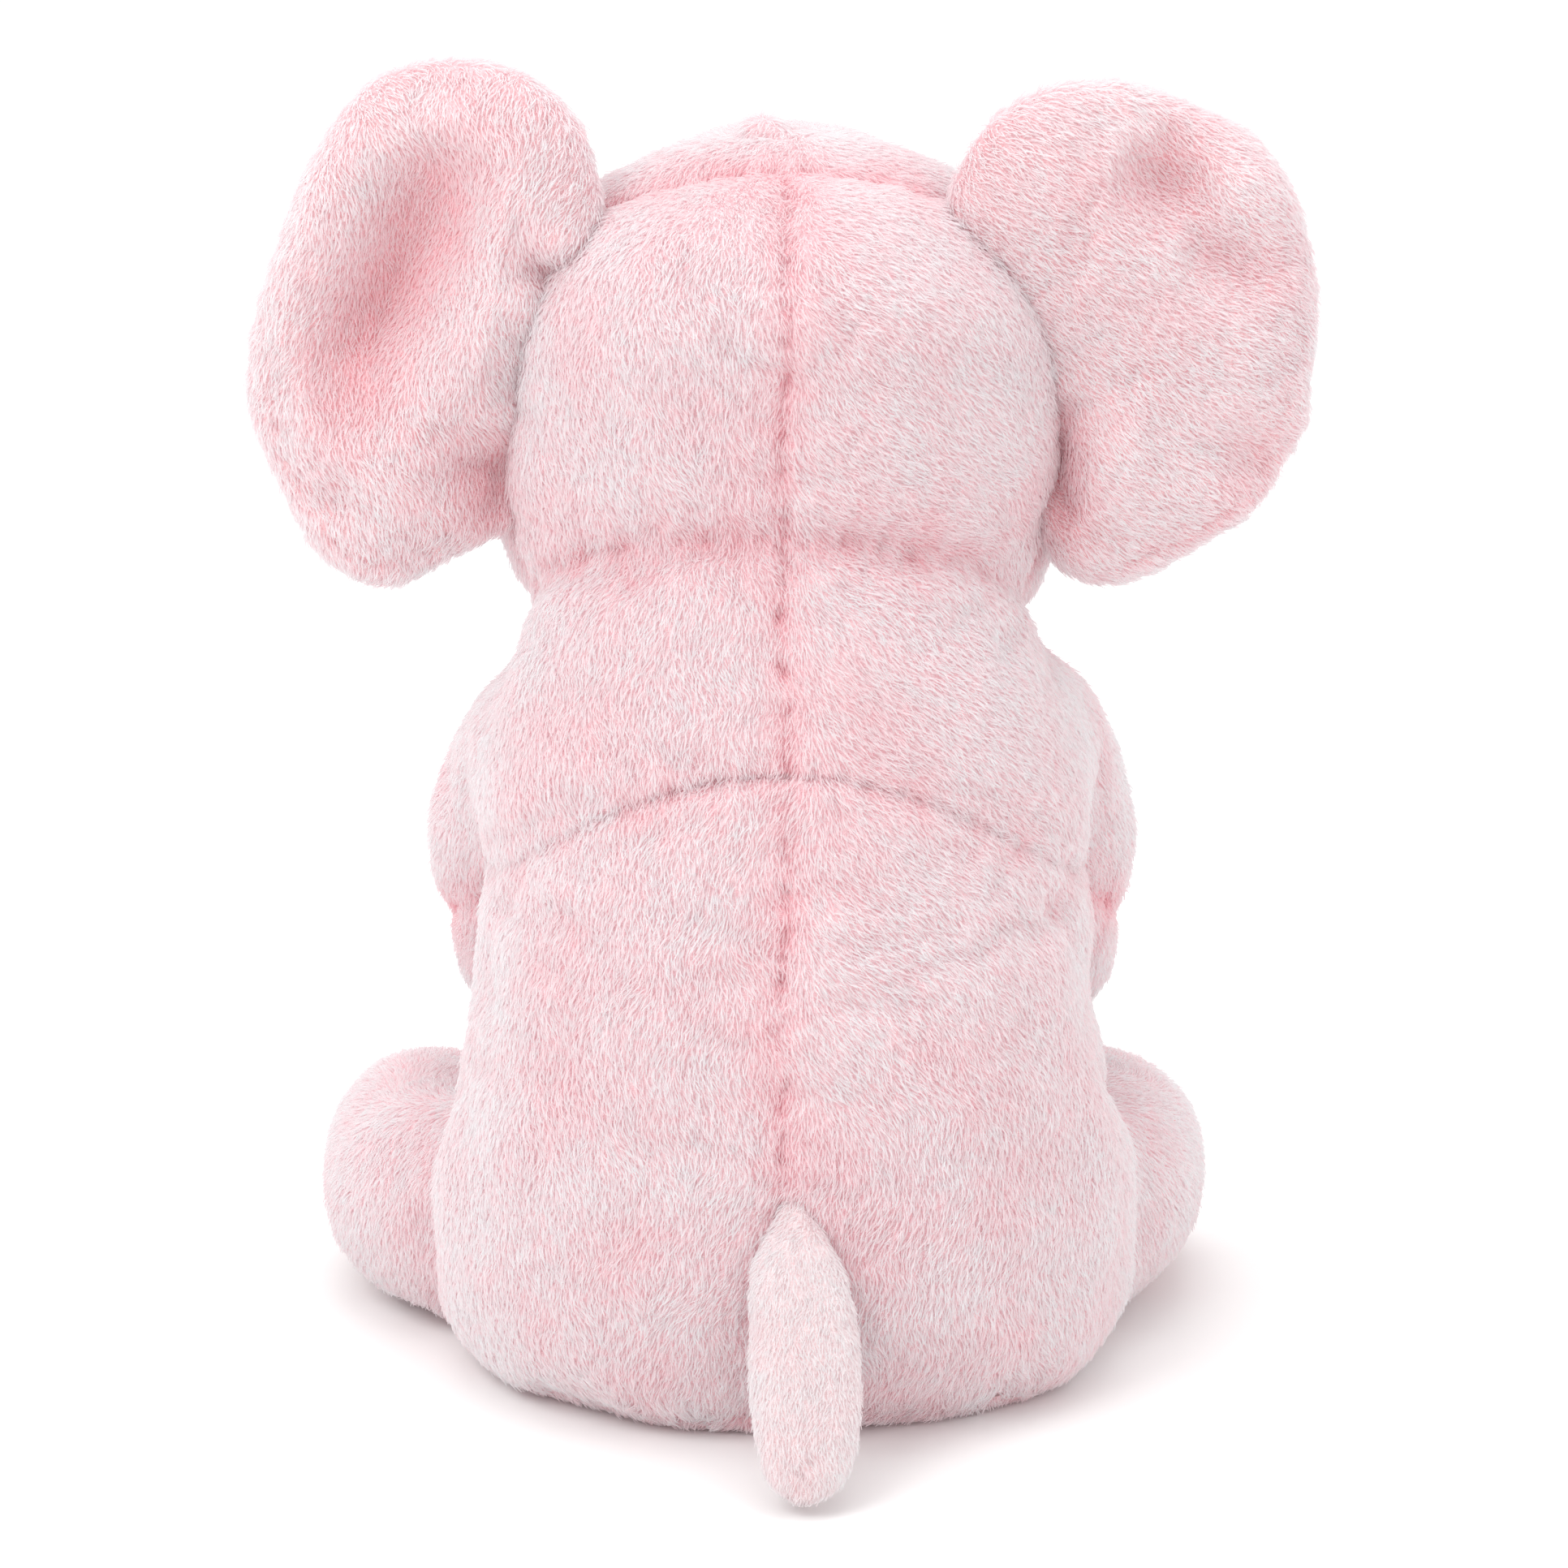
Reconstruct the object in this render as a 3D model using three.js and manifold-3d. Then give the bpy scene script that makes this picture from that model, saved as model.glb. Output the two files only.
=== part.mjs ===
// A small stuffed elephant that sits on its rump, in millimetres.
// +Z is up, the elephant faces -Y, its left side is +X, and the origin is on the floor
// in the middle of the toy's outline.
//
// Every soft piece is cut from a "soft body": a stack of ellipses along a spine. A panel of
// fabric is a patch of that surface with the fabric's thickness, and the stuffing is the same
// body, smaller by that thickness and a small gap.
import * as THREE from 'three';
import Module from 'manifold-3d';
import { mergeVertices } from 'three/addons/utils/BufferGeometryUtils.js';

const wasm = await Module();
wasm.setup();

// ---- driving dimensions -------------------------------------------------------------------
const FABRIC = 1.8; // thickness of the pile fabric, pile included
const EAR_FABRIC = 1.1; // the ears' thinner fabric
const GAP = 0.3; // between neighbouring pieces
const LOOSE = 0.5; // between the skin and the stuffing behind it
const JOINT_GAP = 0.5; // between a turning root and the pocket around it

const MID_SEAM = 5.55; // place of the mid-back seam along the torso's rings
const SIDE_SEAM = 108; // degrees from the middle of the back to the side seam
const BELLY_SEAM = 151; // degrees from the middle of the back to the belly's edge
const CROWN_SEAM = 90; // degrees from the middle of the back to the seam between the ears
const FOREHEAD_HALF = 30; // degrees either side of the face's middle
const TURN_STEP = 15; // degrees between the facets of the torso and head
const LIMB_STEP = 20; // and of a limb

const NECK = [0, 2.2, 87]; // middle of the neck seam, where the head nods
const NECK_BALL = 18.5;

const SHOULDER = [25, -3, 73];
const SHOULDER_BALL = 10;
const PAW = [26.5, -21, 39]; // middle of the paw's end
const ARM_BOW = [28.4, -11.5, 57]; // the arm's widest place
const ARM_RADIUS = 9.6;
const ARM_BACKWARD = 5; // degrees that an arm swings back from rest

const HIP = [33, -2, 13.6];
const HIP_BALL = 13.2;
const FOOT = [37.6, -25, 12.8];
const LEG_RADIUS = 12.6;
const LEG_INWARD = 6; // degrees that a leg turns in from rest

const TRUNK_ROOT = [0, -32, 104];
const TRUNK_BALL = 8.8;
const TRUNK_POCKET = 11.8;

const TAIL_ROOT = [0, 38.6, 28];
const TAIL_BALL = 2.5;

const EAR_AXIS_TOP = [30.2, 2, 126];
const EAR_AXIS_LOW = [35.7, 1, 98];
const EAR_MIDDLE = [40, -4, 115.6];
const EAR_HALF_WIDTH = 18.3;
const EAR_HALF_HEIGHT = 30;
const EAR_ROOT_RADIUS = 2.2;
const EAR_LOFT = 4.3; // half of the ear's thickness at its fullest place
const EAR_CUP = 3.5; // how far the ear's middle is hollowed to the front

const EYE_RADIUS = 4.2;
const SHANK_RADIUS = 1.6;
const SHANK_LENGTH = 8;
const WASHER_RADIUS = 4.6;
const WASHER_THICKNESS = 1;

// Rings: middle x, y, z, half-width along X, half-depth, and tilt in degrees. A tilt of 0
// lays the ring flat; more lifts its rear edge.
const TORSO = [
  [0, 3, 0, 30.5, 25.5, 0],
  [0, 4, 5, 35.4, 30, 0],
  [0, 5, 15, 38, 32.6, 0],
  [0, 5.5, 29, 36.6, 32, 2],
  [0, 5.5, 44, 34, 30, 6],
  [0, 5.2, 58, 32.8, 27.6, 13],
  [0, 4.6, 69, 31.8, 25.6, 20],
  [0, 4.2, 78, 29.8, 24, 26],
  [0, 3.6, 84.6, 27.3, 22.4, 31],
];
const HEAD = [
  [0, 0.8, 89.4, 27.7, 23.4, 31],
  [0, -2, 97, 30, 28.8, 27],
  [0, -4, 106, 30.8, 31.8, 20],
  [0, -4.5, 116, 29.2, 31.8, 12],
  [0, -3.5, 125, 25.2, 28, 6],
  [0, -1.5, 131.6, 18.6, 21, 3],
  [0, 0.6, 135.6, 10.5, 12, 0],
  [0, 1.6, 137.4, 2.6, 3, 0],
];

// ---- materials ----------------------------------------------------------------------------
function cloth(color) {
  return new THREE.MeshStandardMaterial({ color, roughness: 0.95, metalness: 0 });
}
const BODY_PILE = cloth(0xf6d6da);
const EAR_PILE = cloth(0xf5c6cb);
const TAIL_PILE = cloth(0xf9e6e9);
const WADDING = cloth(0xf4f1ec);
const LINING = cloth(0xe9e2d6);
const EYE_PLASTIC = new THREE.MeshStandardMaterial({ color: 0x141214, roughness: 0.12, metalness: 0 });
const WASHER_PLASTIC = new THREE.MeshStandardMaterial({ color: 0xeceae6, roughness: 0.5, metalness: 0 });

// ---- meshes and solids --------------------------------------------------------------------
const elephant = new THREE.Group();

function addMesh(name, geometry, material) {
  const mesh = new THREE.Mesh(geometry, material);
  mesh.name = name;
  elephant.add(mesh);
  return mesh;
}

function signedVolume(points, triangles) {
  let volume = 0;
  const cross = new THREE.Vector3();
  for (const [a, b, c] of triangles) {
    volume += points[a].dot(cross.crossVectors(points[b], points[c])) / 6;
  }
  return volume;
}

function closedGeometry(points, triangles) {
  const turned = signedVolume(points, triangles) < 0;
  const order = turned ? triangles.map(([a, b, c]) => [a, c, b]) : triangles;
  const geometry = new THREE.BufferGeometry();
  geometry.setAttribute('position', new THREE.Float32BufferAttribute(points.flatMap((p) => p.toArray()), 3));
  geometry.setIndex(order.flat());
  return geometry;
}

function toSolid(geometry) {
  const bare = geometry.clone();
  bare.deleteAttribute('normal');
  bare.deleteAttribute('uv');
  const merged = mergeVertices(bare, 1e-4);
  return new wasm.Manifold(new wasm.Mesh({
    numProp: 3,
    vertProperties: Float32Array.from(merged.attributes.position.array),
    triVerts: Uint32Array.from(merged.index.array),
  }));
}

function toGeometry(solid) {
  const mesh = solid.getMesh();
  const geometry = new THREE.BufferGeometry();
  geometry.setAttribute('position', new THREE.BufferAttribute(mesh.vertProperties, 3));
  geometry.setIndex(new THREE.BufferAttribute(mesh.triVerts, 1));
  return geometry;
}

// The largest body that is left of a geometry when the cutters are taken away.
function carve(geometry, cutters) {
  let solid = toSolid(geometry);
  for (const cutter of cutters) {
    solid = solid.subtract(toSolid(cutter));
  }
  const pieces = solid.decompose().sort((a, b) => b.volume() - a.volume());
  return toGeometry(pieces[0]);
}

function mirroredGeometry(geometry) {
  const bare = geometry.clone();
  bare.deleteAttribute('normal');
  bare.deleteAttribute('uv');
  const copy = mergeVertices(bare, 1e-4);
  copy.applyMatrix4(new THREE.Matrix4().makeScale(-1, 1, 1));
  const index = Array.from(copy.index.array);
  for (let i = 0; i < index.length; i += 3) {
    [index[i + 1], index[i + 2]] = [index[i + 2], index[i + 1]];
  }
  copy.setIndex(index);
  return copy;
}

// ---- soft bodies --------------------------------------------------------------------------
class SoftBody {
  constructor(rings) {
    const times = rings.map((ring, index) => index);
    this.last = rings.length - 1;
    this.curve = new THREE.CubicInterpolant(times, rings.flat(), 6);
  }

  // The point at place v along the rings and at a turn in degrees from the rear.
  surface(v, turn) {
    const [x, y, z, halfWidth, halfDepth, tilt] = this.curve.evaluate(THREE.MathUtils.clamp(v, 0, this.last));
    const angle = THREE.MathUtils.degToRad(turn);
    const lean = THREE.MathUtils.degToRad(tilt);
    const across = halfWidth * Math.sin(angle);
    const back = halfDepth * Math.cos(angle);
    return new THREE.Vector3(x + across, y + back * Math.cos(lean), z + back * Math.sin(lean));
  }

  normal(v, turn) {
    const step = 0.02;
    const alongV = this.surface(v + step, turn).sub(this.surface(v - step, turn));
    const around = this.surface(v, turn + 1).sub(this.surface(v, turn - 1));
    const out = around.cross(alongV).normalize();
    const middle = this.surface(v, turn).add(this.surface(v, turn + 180)).multiplyScalar(0.5);
    const away = this.surface(v, turn).sub(middle);
    return out.dot(away) < 0 ? out.negate() : out;
  }

  inset(v, turn, depth) {
    return this.surface(v, turn).addScaledVector(this.normal(v, turn), -depth);
  }

  // A patch of fabric between two places along the body and two turns.
  panel({ v, turn, turnStep = TURN_STEP, thickness = FABRIC }) {
    const rows = stations(v, 1);
    const columns = stations(turn, turnStep);
    const points = [];
    for (const depth of [0, thickness]) {
      for (const along of rows) {
        for (const around of columns) {
          points.push(this.inset(along, around, depth));
        }
      }
    }
    return closedGeometry(points, sheetTriangles(rows.length - 1, columns.length - 1));
  }

  // A closed solid between two places along the body, smaller by the inset.
  filling({ v, inset, turnStep = TURN_STEP }) {
    const rows = stations(v, 1);
    const columns = Math.round(360 / turnStep);
    const points = [];
    for (const along of rows) {
      for (let column = 0; column < columns; column += 1) {
        points.push(this.inset(along, column * turnStep, inset));
      }
    }
    return closedGeometry(points, tubeTriangles(points, rows.length - 1, columns));
  }
}

// Places from the first to the last, with every whole step between them, so that a skin and
// the stuffing behind it have their facets at the same places.
function stations([first, last], step) {
  const places = [first];
  const least = step * 0.1;
  for (let place = Math.ceil(first / step) * step; place < last - least; place += step) {
    if (place > first + least) {
      places.push(place);
    }
  }
  places.push(last);
  return places;
}

// Two grids of points, one behind the other, joined around their rim.
function sheetTriangles(rows, columns) {
  const triangles = [];
  const layer = (rows + 1) * (columns + 1);
  const at = (row, column, side) => side * layer + row * (columns + 1) + column;
  const quad = (a, b, c, d) => triangles.push([a, b, c], [a, c, d]);
  for (let row = 0; row < rows; row += 1) {
    for (let column = 0; column < columns; column += 1) {
      quad(at(row, column, 0), at(row, column + 1, 0), at(row + 1, column + 1, 0), at(row + 1, column, 0));
      quad(at(row, column, 1), at(row + 1, column, 1), at(row + 1, column + 1, 1), at(row, column + 1, 1));
    }
  }
  for (let row = 0; row < rows; row += 1) {
    quad(at(row, 0, 0), at(row + 1, 0, 0), at(row + 1, 0, 1), at(row, 0, 1));
    quad(at(row, columns, 0), at(row, columns, 1), at(row + 1, columns, 1), at(row + 1, columns, 0));
  }
  for (let column = 0; column < columns; column += 1) {
    quad(at(0, column, 0), at(0, column, 1), at(0, column + 1, 1), at(0, column + 1, 0));
    quad(at(rows, column, 0), at(rows, column + 1, 0), at(rows, column + 1, 1), at(rows, column, 1));
  }
  return triangles;
}

// Rings of points closed by a middle point at each end, which it adds to the points.
function tubeTriangles(points, rows, columns) {
  const triangles = [];
  const at = (row, column) => row * columns + (column % columns);
  for (let row = 0; row < rows; row += 1) {
    for (let column = 0; column < columns; column += 1) {
      triangles.push([at(row, column), at(row, column + 1), at(row + 1, column + 1)]);
      triangles.push([at(row, column), at(row + 1, column + 1), at(row + 1, column)]);
    }
  }
  for (const row of [0, rows]) {
    const middle = new THREE.Vector3();
    for (let column = 0; column < columns; column += 1) {
      middle.addScaledVector(points[at(row, column)], 1 / columns);
    }
    const tip = points.push(middle) - 1;
    for (let column = 0; column < columns; column += 1) {
      const [a, b] = [at(row, column), at(row, column + 1)];
      triangles.push(row === 0 ? [tip, b, a] : [tip, a, b]);
    }
  }
  return triangles;
}

// Rings of a half ball that ends a limb, from its pole to its equator.
function ballRings([x, y, z], radius, tilt, steps, sign) {
  const rings = [];
  const lean = THREE.MathUtils.degToRad(tilt);
  for (let step = 0; step < steps; step += 1) {
    const angle = ((step + 0.35) / steps) * (Math.PI / 2);
    const back = sign * radius * Math.cos(angle);
    const size = radius * Math.sin(angle);
    rings.push([x, y - back * Math.sin(lean), z + back * Math.cos(lean), size, size, tilt]);
  }
  return rings;
}

function ball([x, y, z], radius, detail = 20) {
  const geometry = new THREE.SphereGeometry(radius, detail, Math.round(detail / 2));
  geometry.translate(x, y, z);
  return geometry;
}

// ---- room for the moving limbs ------------------------------------------------------------
// An arm swings in the YZ plane. Its room is a fan from the shoulder, cut through the torso's side.
function armRoom() {
  const [, sy, sz] = SHOULDER;
  const reach = Math.hypot(PAW[1] - sy, PAW[2] - sz) + ARM_RADIUS + 6;
  const rest = Math.atan2(PAW[2] - sz, PAW[1] - sy);
  const hindmost = rest - THREE.MathUtils.degToRad(-ARM_BACKWARD) + THREE.MathUtils.degToRad(2);
  const half = ARM_RADIUS + JOINT_GAP + 0.8;
  const shape = new THREE.Shape();
  const backY = -Math.sin(hindmost) * half;
  const backZ = Math.cos(hindmost) * half;
  shape.moveTo(sy + backY, sz + backZ);
  shape.lineTo(sy + backY + Math.cos(hindmost) * reach, sz + backZ + Math.sin(hindmost) * reach);
  shape.lineTo(sy - 70, sz + backZ + Math.sin(hindmost) * reach);
  shape.lineTo(sy - 70, sz + half);
  shape.lineTo(sy, sz + half);
  const fan = new THREE.ExtrudeGeometry(shape, { depth: 40, bevelEnabled: false });
  const axes = [new THREE.Vector3(0, 1, 0), new THREE.Vector3(0, 0, 1), new THREE.Vector3(1, 0, 0)];
  fan.applyMatrix4(new THREE.Matrix4().makeBasis(...axes));
  fan.translate(SHOULDER[0] - 8.8, 0, 0);
  return [fan, ball(SHOULDER, SHOULDER_BALL + JOINT_GAP)];
}

// A leg spreads in the XY plane, so its room is a flat fan from the hip.
function legRoom() {
  const [hx, hy] = HIP;
  const inmost = Math.atan2(FOOT[1] - hy, FOOT[0] - hx) - THREE.MathUtils.degToRad(LEG_INWARD);
  const half = LEG_RADIUS + JOINT_GAP + 0.6;
  const reach = 50;
  const sideX = Math.sin(inmost) * half;
  const sideY = -Math.cos(inmost) * half;
  const shape = new THREE.Shape();
  shape.moveTo(hx + sideX, hy + sideY);
  shape.lineTo(hx + sideX + Math.cos(inmost) * reach, hy + sideY + Math.sin(inmost) * reach);
  shape.lineTo(hx + reach, hy - reach);
  shape.lineTo(hx + reach, hy);
  const fan = new THREE.ExtrudeGeometry(shape, { depth: HIP_BALL * 2 + 4, bevelEnabled: false });
  fan.translate(0, 0, -2);
  return [fan, ball(HIP, HIP_BALL + JOINT_GAP)];
}

const armRoomLeft = armRoom();
const armRoomRight = armRoomLeft.map(mirroredGeometry);
const legRoomLeft = legRoom();
const legRoomRight = legRoomLeft.map(mirroredGeometry);

// ---- torso --------------------------------------------------------------------------------
const torso = new SoftBody(TORSO);
const tailPocket = ball(TAIL_ROOT, TAIL_BALL + JOINT_GAP + 0.7, 16);
const SEAM_TURN = 0.3; // degrees: half of the gap at a lengthwise seam
const SEAM_STEP = 0.015; // ring places: half of the gap at a cross seam

function addBackPanels() {
  const turn = [SEAM_TURN, SIDE_SEAM - SEAM_TURN];
  const upper = torso.panel({ v: [MID_SEAM + SEAM_STEP, torso.last], turn });
  const lower = torso.panel({ v: [0, MID_SEAM - SEAM_STEP], turn });
  const upperLeft = carve(upper, armRoomLeft);
  const lowerLeft = carve(lower, [...legRoomLeft, ...armRoomLeft, tailPocket]);
  addMesh('upper_back_left', upperLeft, BODY_PILE);
  addMesh('upper_back_right', mirroredGeometry(upperLeft), BODY_PILE);
  addMesh('haunch_left', lowerLeft, BODY_PILE);
  addMesh('haunch_right', mirroredGeometry(lowerLeft), BODY_PILE);
}

function addBelly() {
  const turn = [BELLY_SEAM, 360 - BELLY_SEAM];
  const belly = torso.panel({ v: [0, torso.last], turn });
  const rooms = [...armRoomLeft, ...armRoomRight, ...legRoomLeft, ...legRoomRight];
  addMesh('belly_panel', carve(belly, rooms), BODY_PILE);
}

function addBase() {
  const outline = new THREE.Shape();
  const steps = 360 / TURN_STEP;
  for (let step = 0; step < steps; step += 1) {
    const point = torso.surface(0, (360 * step) / steps);
    const inward = new THREE.Vector2(point.x, point.y - TORSO[0][1]);
    inward.setLength(inward.length() - FABRIC - GAP - 0.6);
    outline[step === 0 ? 'moveTo' : 'lineTo'](inward.x, inward.y + TORSO[0][1]);
  }
  const base = new THREE.ExtrudeGeometry(outline, { depth: FABRIC, bevelEnabled: false });
  addMesh('base_panel', carve(base, [...legRoomLeft, ...legRoomRight]), BODY_PILE);
}

const BAG_RADIUS = 17;
const BAG_HEIGHT = 19;
const BAG_MIDDLE = [0, 8, FABRIC + GAP];

// A low round bag: flat below, domed above.
function bagGeometry(grow) {
  const profile = [new THREE.Vector2(0, -grow * 8)];
  const arcSteps = 7;
  for (let step = 0; step <= arcSteps; step += 1) {
    const angle = ((step / arcSteps) * Math.PI) / 2;
    const radius = (BAG_RADIUS + grow) * Math.cos(angle);
    const height = 3 + (BAG_HEIGHT - 3 + grow) * Math.sin(angle);
    if (step === 0) {
      profile.push(new THREE.Vector2(radius, -grow * 8));
    }
    profile.push(new THREE.Vector2(step === arcSteps ? 0 : radius, height));
  }
  const bag = new THREE.LatheGeometry(profile, 20);
  bag.rotateX(Math.PI / 2);
  bag.translate(...BAG_MIDDLE);
  return bag;
}

function addTorsoFilling() {
  const lowest = 0.45;
  const filling = torso.filling({ v: [lowest, torso.last], inset: FABRIC + LOOSE });
  const cutters = [
    ...armRoomLeft, ...armRoomRight, ...legRoomLeft, ...legRoomRight,
    tailPocket, bagGeometry(GAP), ball(NECK, NECK_BALL + JOINT_GAP),
  ];
  addMesh('torso_stuffing', carve(filling, cutters), WADDING);
  addMesh('pellet_bag', bagGeometry(0), LINING);
  addMesh('neck_stuffing', ball(NECK, NECK_BALL), WADDING);
}

// ---- head ---------------------------------------------------------------------------------
const head = new SoftBody(HEAD);
const EYE_PLACE = [3.05, 180 - 33]; // along the head's rings, and degrees from the rear

function eyeFrame(side) {
  const turn = side > 0 ? EYE_PLACE[1] : 360 - EYE_PLACE[1];
  const place = head.surface(EYE_PLACE[0], turn);
  const out = head.normal(EYE_PLACE[0], turn);
  const turnTo = new THREE.Quaternion().setFromUnitVectors(new THREE.Vector3(0, 1, 0), out);
  return new THREE.Matrix4().compose(place, turnTo, new THREE.Vector3(1, 1, 1));
}

function turned(profile, segments, frame) {
  const geometry = new THREE.LatheGeometry(profile.map(([r, h]) => new THREE.Vector2(r, h)), segments);
  geometry.applyMatrix4(frame);
  return geometry;
}

function eyeProfile() {
  const profile = [[0, -SHANK_LENGTH], [SHANK_RADIUS, -SHANK_LENGTH], [SHANK_RADIUS, GAP], [EYE_RADIUS, GAP]];
  const steps = 6;
  for (let step = 1; step <= steps; step += 1) {
    const angle = ((step / steps) * Math.PI) / 2;
    const radius = step === steps ? 0 : EYE_RADIUS * Math.cos(angle);
    profile.push([radius, GAP + EYE_RADIUS * 0.62 * Math.sin(angle)]);
  }
  return profile;
}

const washerTop = -(FABRIC + 1.4); // the skin curves down around the shank
const washerFloor = washerTop - WASHER_THICKNESS;
const shankHole = [[0, -12], [SHANK_RADIUS + GAP, -12], [SHANK_RADIUS + GAP, 6], [0, 6]];
const washerPocket = [
  [0, washerFloor - GAP], [WASHER_RADIUS + GAP, washerFloor - GAP], [WASHER_RADIUS + GAP, 4], [0, 4],
];
const washer = [
  [SHANK_RADIUS + GAP / 2, washerTop], [SHANK_RADIUS + GAP / 2, washerFloor],
  [WASHER_RADIUS, washerFloor], [WASHER_RADIUS, washerTop], [SHANK_RADIUS + GAP / 2, washerTop],
];

function addHeadSkin() {
  const eyeHoles = [1, -1].map((side) => turned(shankHole, 12, eyeFrame(side)));
  const trunkHole = ball(TRUNK_ROOT, TRUNK_POCKET);
  const v = [0, head.last];
  const back = head.panel({ v, turn: [SEAM_TURN, CROWN_SEAM - SEAM_TURN] });
  addMesh('head_back_left', back, BODY_PILE);
  addMesh('head_back_right', mirroredGeometry(back), BODY_PILE);
  const foreheadTurn = [180 - FOREHEAD_HALF + SEAM_TURN, 180 + FOREHEAD_HALF - SEAM_TURN];
  const forehead = head.panel({ v, turn: foreheadTurn });
  addMesh('forehead_panel', carve(forehead, [trunkHole, ...eyeHoles]), BODY_PILE);
  const cheekTurn = [CROWN_SEAM + SEAM_TURN, 180 - FOREHEAD_HALF - SEAM_TURN];
  const cheek = carve(head.panel({ v, turn: cheekTurn }), [trunkHole, ...eyeHoles]);
  addMesh('cheek_left', cheek, BODY_PILE);
  addMesh('cheek_right', mirroredGeometry(cheek), BODY_PILE);
}

function addHeadFilling() {
  const filling = head.filling({ v: [0, head.last], inset: FABRIC + LOOSE });
  const pockets = [1, -1].flatMap((side) => [
    turned(shankHole, 12, eyeFrame(side)), turned(washerPocket, 16, eyeFrame(side)),
  ]);
  const cutters = [ball(NECK, NECK_BALL + JOINT_GAP), ball(TRUNK_ROOT, TRUNK_POCKET), ...pockets];
  addMesh('head_stuffing', carve(filling, cutters), WADDING);
}

function addEyes() {
  for (const [side, name] of [[1, 'left'], [-1, 'right']]) {
    addMesh(`eye_${name}`, turned(eyeProfile(), 16, eyeFrame(side)), EYE_PLASTIC);
    addMesh(`eye_washer_${name}`, turned(washer, 16, eyeFrame(side)), WASHER_PLASTIC);
  }
}

// ---- ears ---------------------------------------------------------------------------------
// The ear spreads from its straight root to a rounded rim. s runs from the root to the rim
// and t from the top to the bottom.
function earMiddle(s, t) {
  const root = new THREE.Vector3(...EAR_AXIS_TOP).lerp(new THREE.Vector3(...EAR_AXIS_LOW), t);
  const angle = THREE.MathUtils.degToRad(THREE.MathUtils.lerp(116, -103, t));
  const rim = new THREE.Vector3(
    EAR_MIDDLE[0] + EAR_HALF_WIDTH * Math.cos(angle),
    EAR_MIDDLE[1],
    EAR_MIDDLE[2] + EAR_HALF_HEIGHT * Math.sin(angle),
  );
  const point = root.lerp(rim, s);
  point.y -= EAR_CUP * Math.sin(Math.PI * s) * Math.sin(Math.PI * t);
  return point;
}

function earHalfThickness(s, t) {
  const root = EAR_ROOT_RADIUS * (1 - s) ** 2;
  const swell = EAR_LOFT * Math.sin(Math.PI * Math.min(s ** 0.8, 1)) * (0.35 + 0.65 * Math.sin(Math.PI * t));
  return root + swell + EAR_FABRIC;
}

function earLayer(near, far, s, rows, columns) {
  const points = [];
  for (const offset of [near, far]) {
    for (let row = 0; row <= rows; row += 1) {
      for (let column = 0; column <= columns; column += 1) {
        const along = THREE.MathUtils.lerp(s[0], s[1], row / rows);
        const down = column / columns;
        const point = earMiddle(along, down);
        point.y += offset(along, down);
        points.push(point);
      }
    }
  }
  return closedGeometry(points, sheetTriangles(rows, columns));
}

function addEars() {
  const outer = (s, t) => earHalfThickness(s, t);
  const inner = (s, t) => earHalfThickness(s, t) - EAR_FABRIC + GAP / 2;
  const padding = (s, t) => Math.max(earHalfThickness(s, t) - EAR_FABRIC - LOOSE / 2, 0.15);
  const negative = (offset) => (s, t) => -offset(s, t);
  const back = earLayer(outer, inner, [0, 1], 6, 14);
  const front = earLayer(negative(inner), negative(outer), [0, 1], 6, 14);
  const pad = earLayer(padding, negative(padding), [0, 5 / 6], 5, 14);
  for (const [name, geometry] of [['ear_back', back], ['ear_front', front]]) {
    addMesh(`${name}_left`, geometry, EAR_PILE);
    addMesh(`${name}_right`, mirroredGeometry(geometry), EAR_PILE);
  }
  addMesh('ear_padding_left', pad, WADDING);
  addMesh('ear_padding_right', mirroredGeometry(pad), WADDING);
}

// ---- limbs --------------------------------------------------------------------------------
// A limb has a ball at its root, a run of rings and a rounded end. Its skin is two half
// tubes and an end cap, and its stuffing fills it.
function addLimb({ rings, names, caps, material, mirror }) {
  const limb = new SoftBody(rings);
  const seam = 1.2; // degrees: half of the gap at a limb's narrow seam
  const turnStep = LIMB_STEP;
  const first = limb.panel({ v: caps, turn: [seam, 180 - seam], turnStep });
  const second = limb.panel({ v: caps, turn: [180 + seam, 360 - seam], turnStep });
  const end = limb.filling({ v: [caps[1] + 0.1, limb.last], inset: 0, turnStep });
  const filling = limb.filling({ v: [0, caps[1] - 0.12], inset: FABRIC + LOOSE, turnStep });
  const pieces = [first, second, end, filling];
  names.forEach((name, index) => {
    const colour = index === 3 ? WADDING : material;
    if (!mirror) {
      addMesh(name, pieces[index], colour);
      return;
    }
    addMesh(`${name}_left`, pieces[index], colour);
    addMesh(`${name}_right`, mirroredGeometry(pieces[index]), colour);
  });
}

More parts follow.
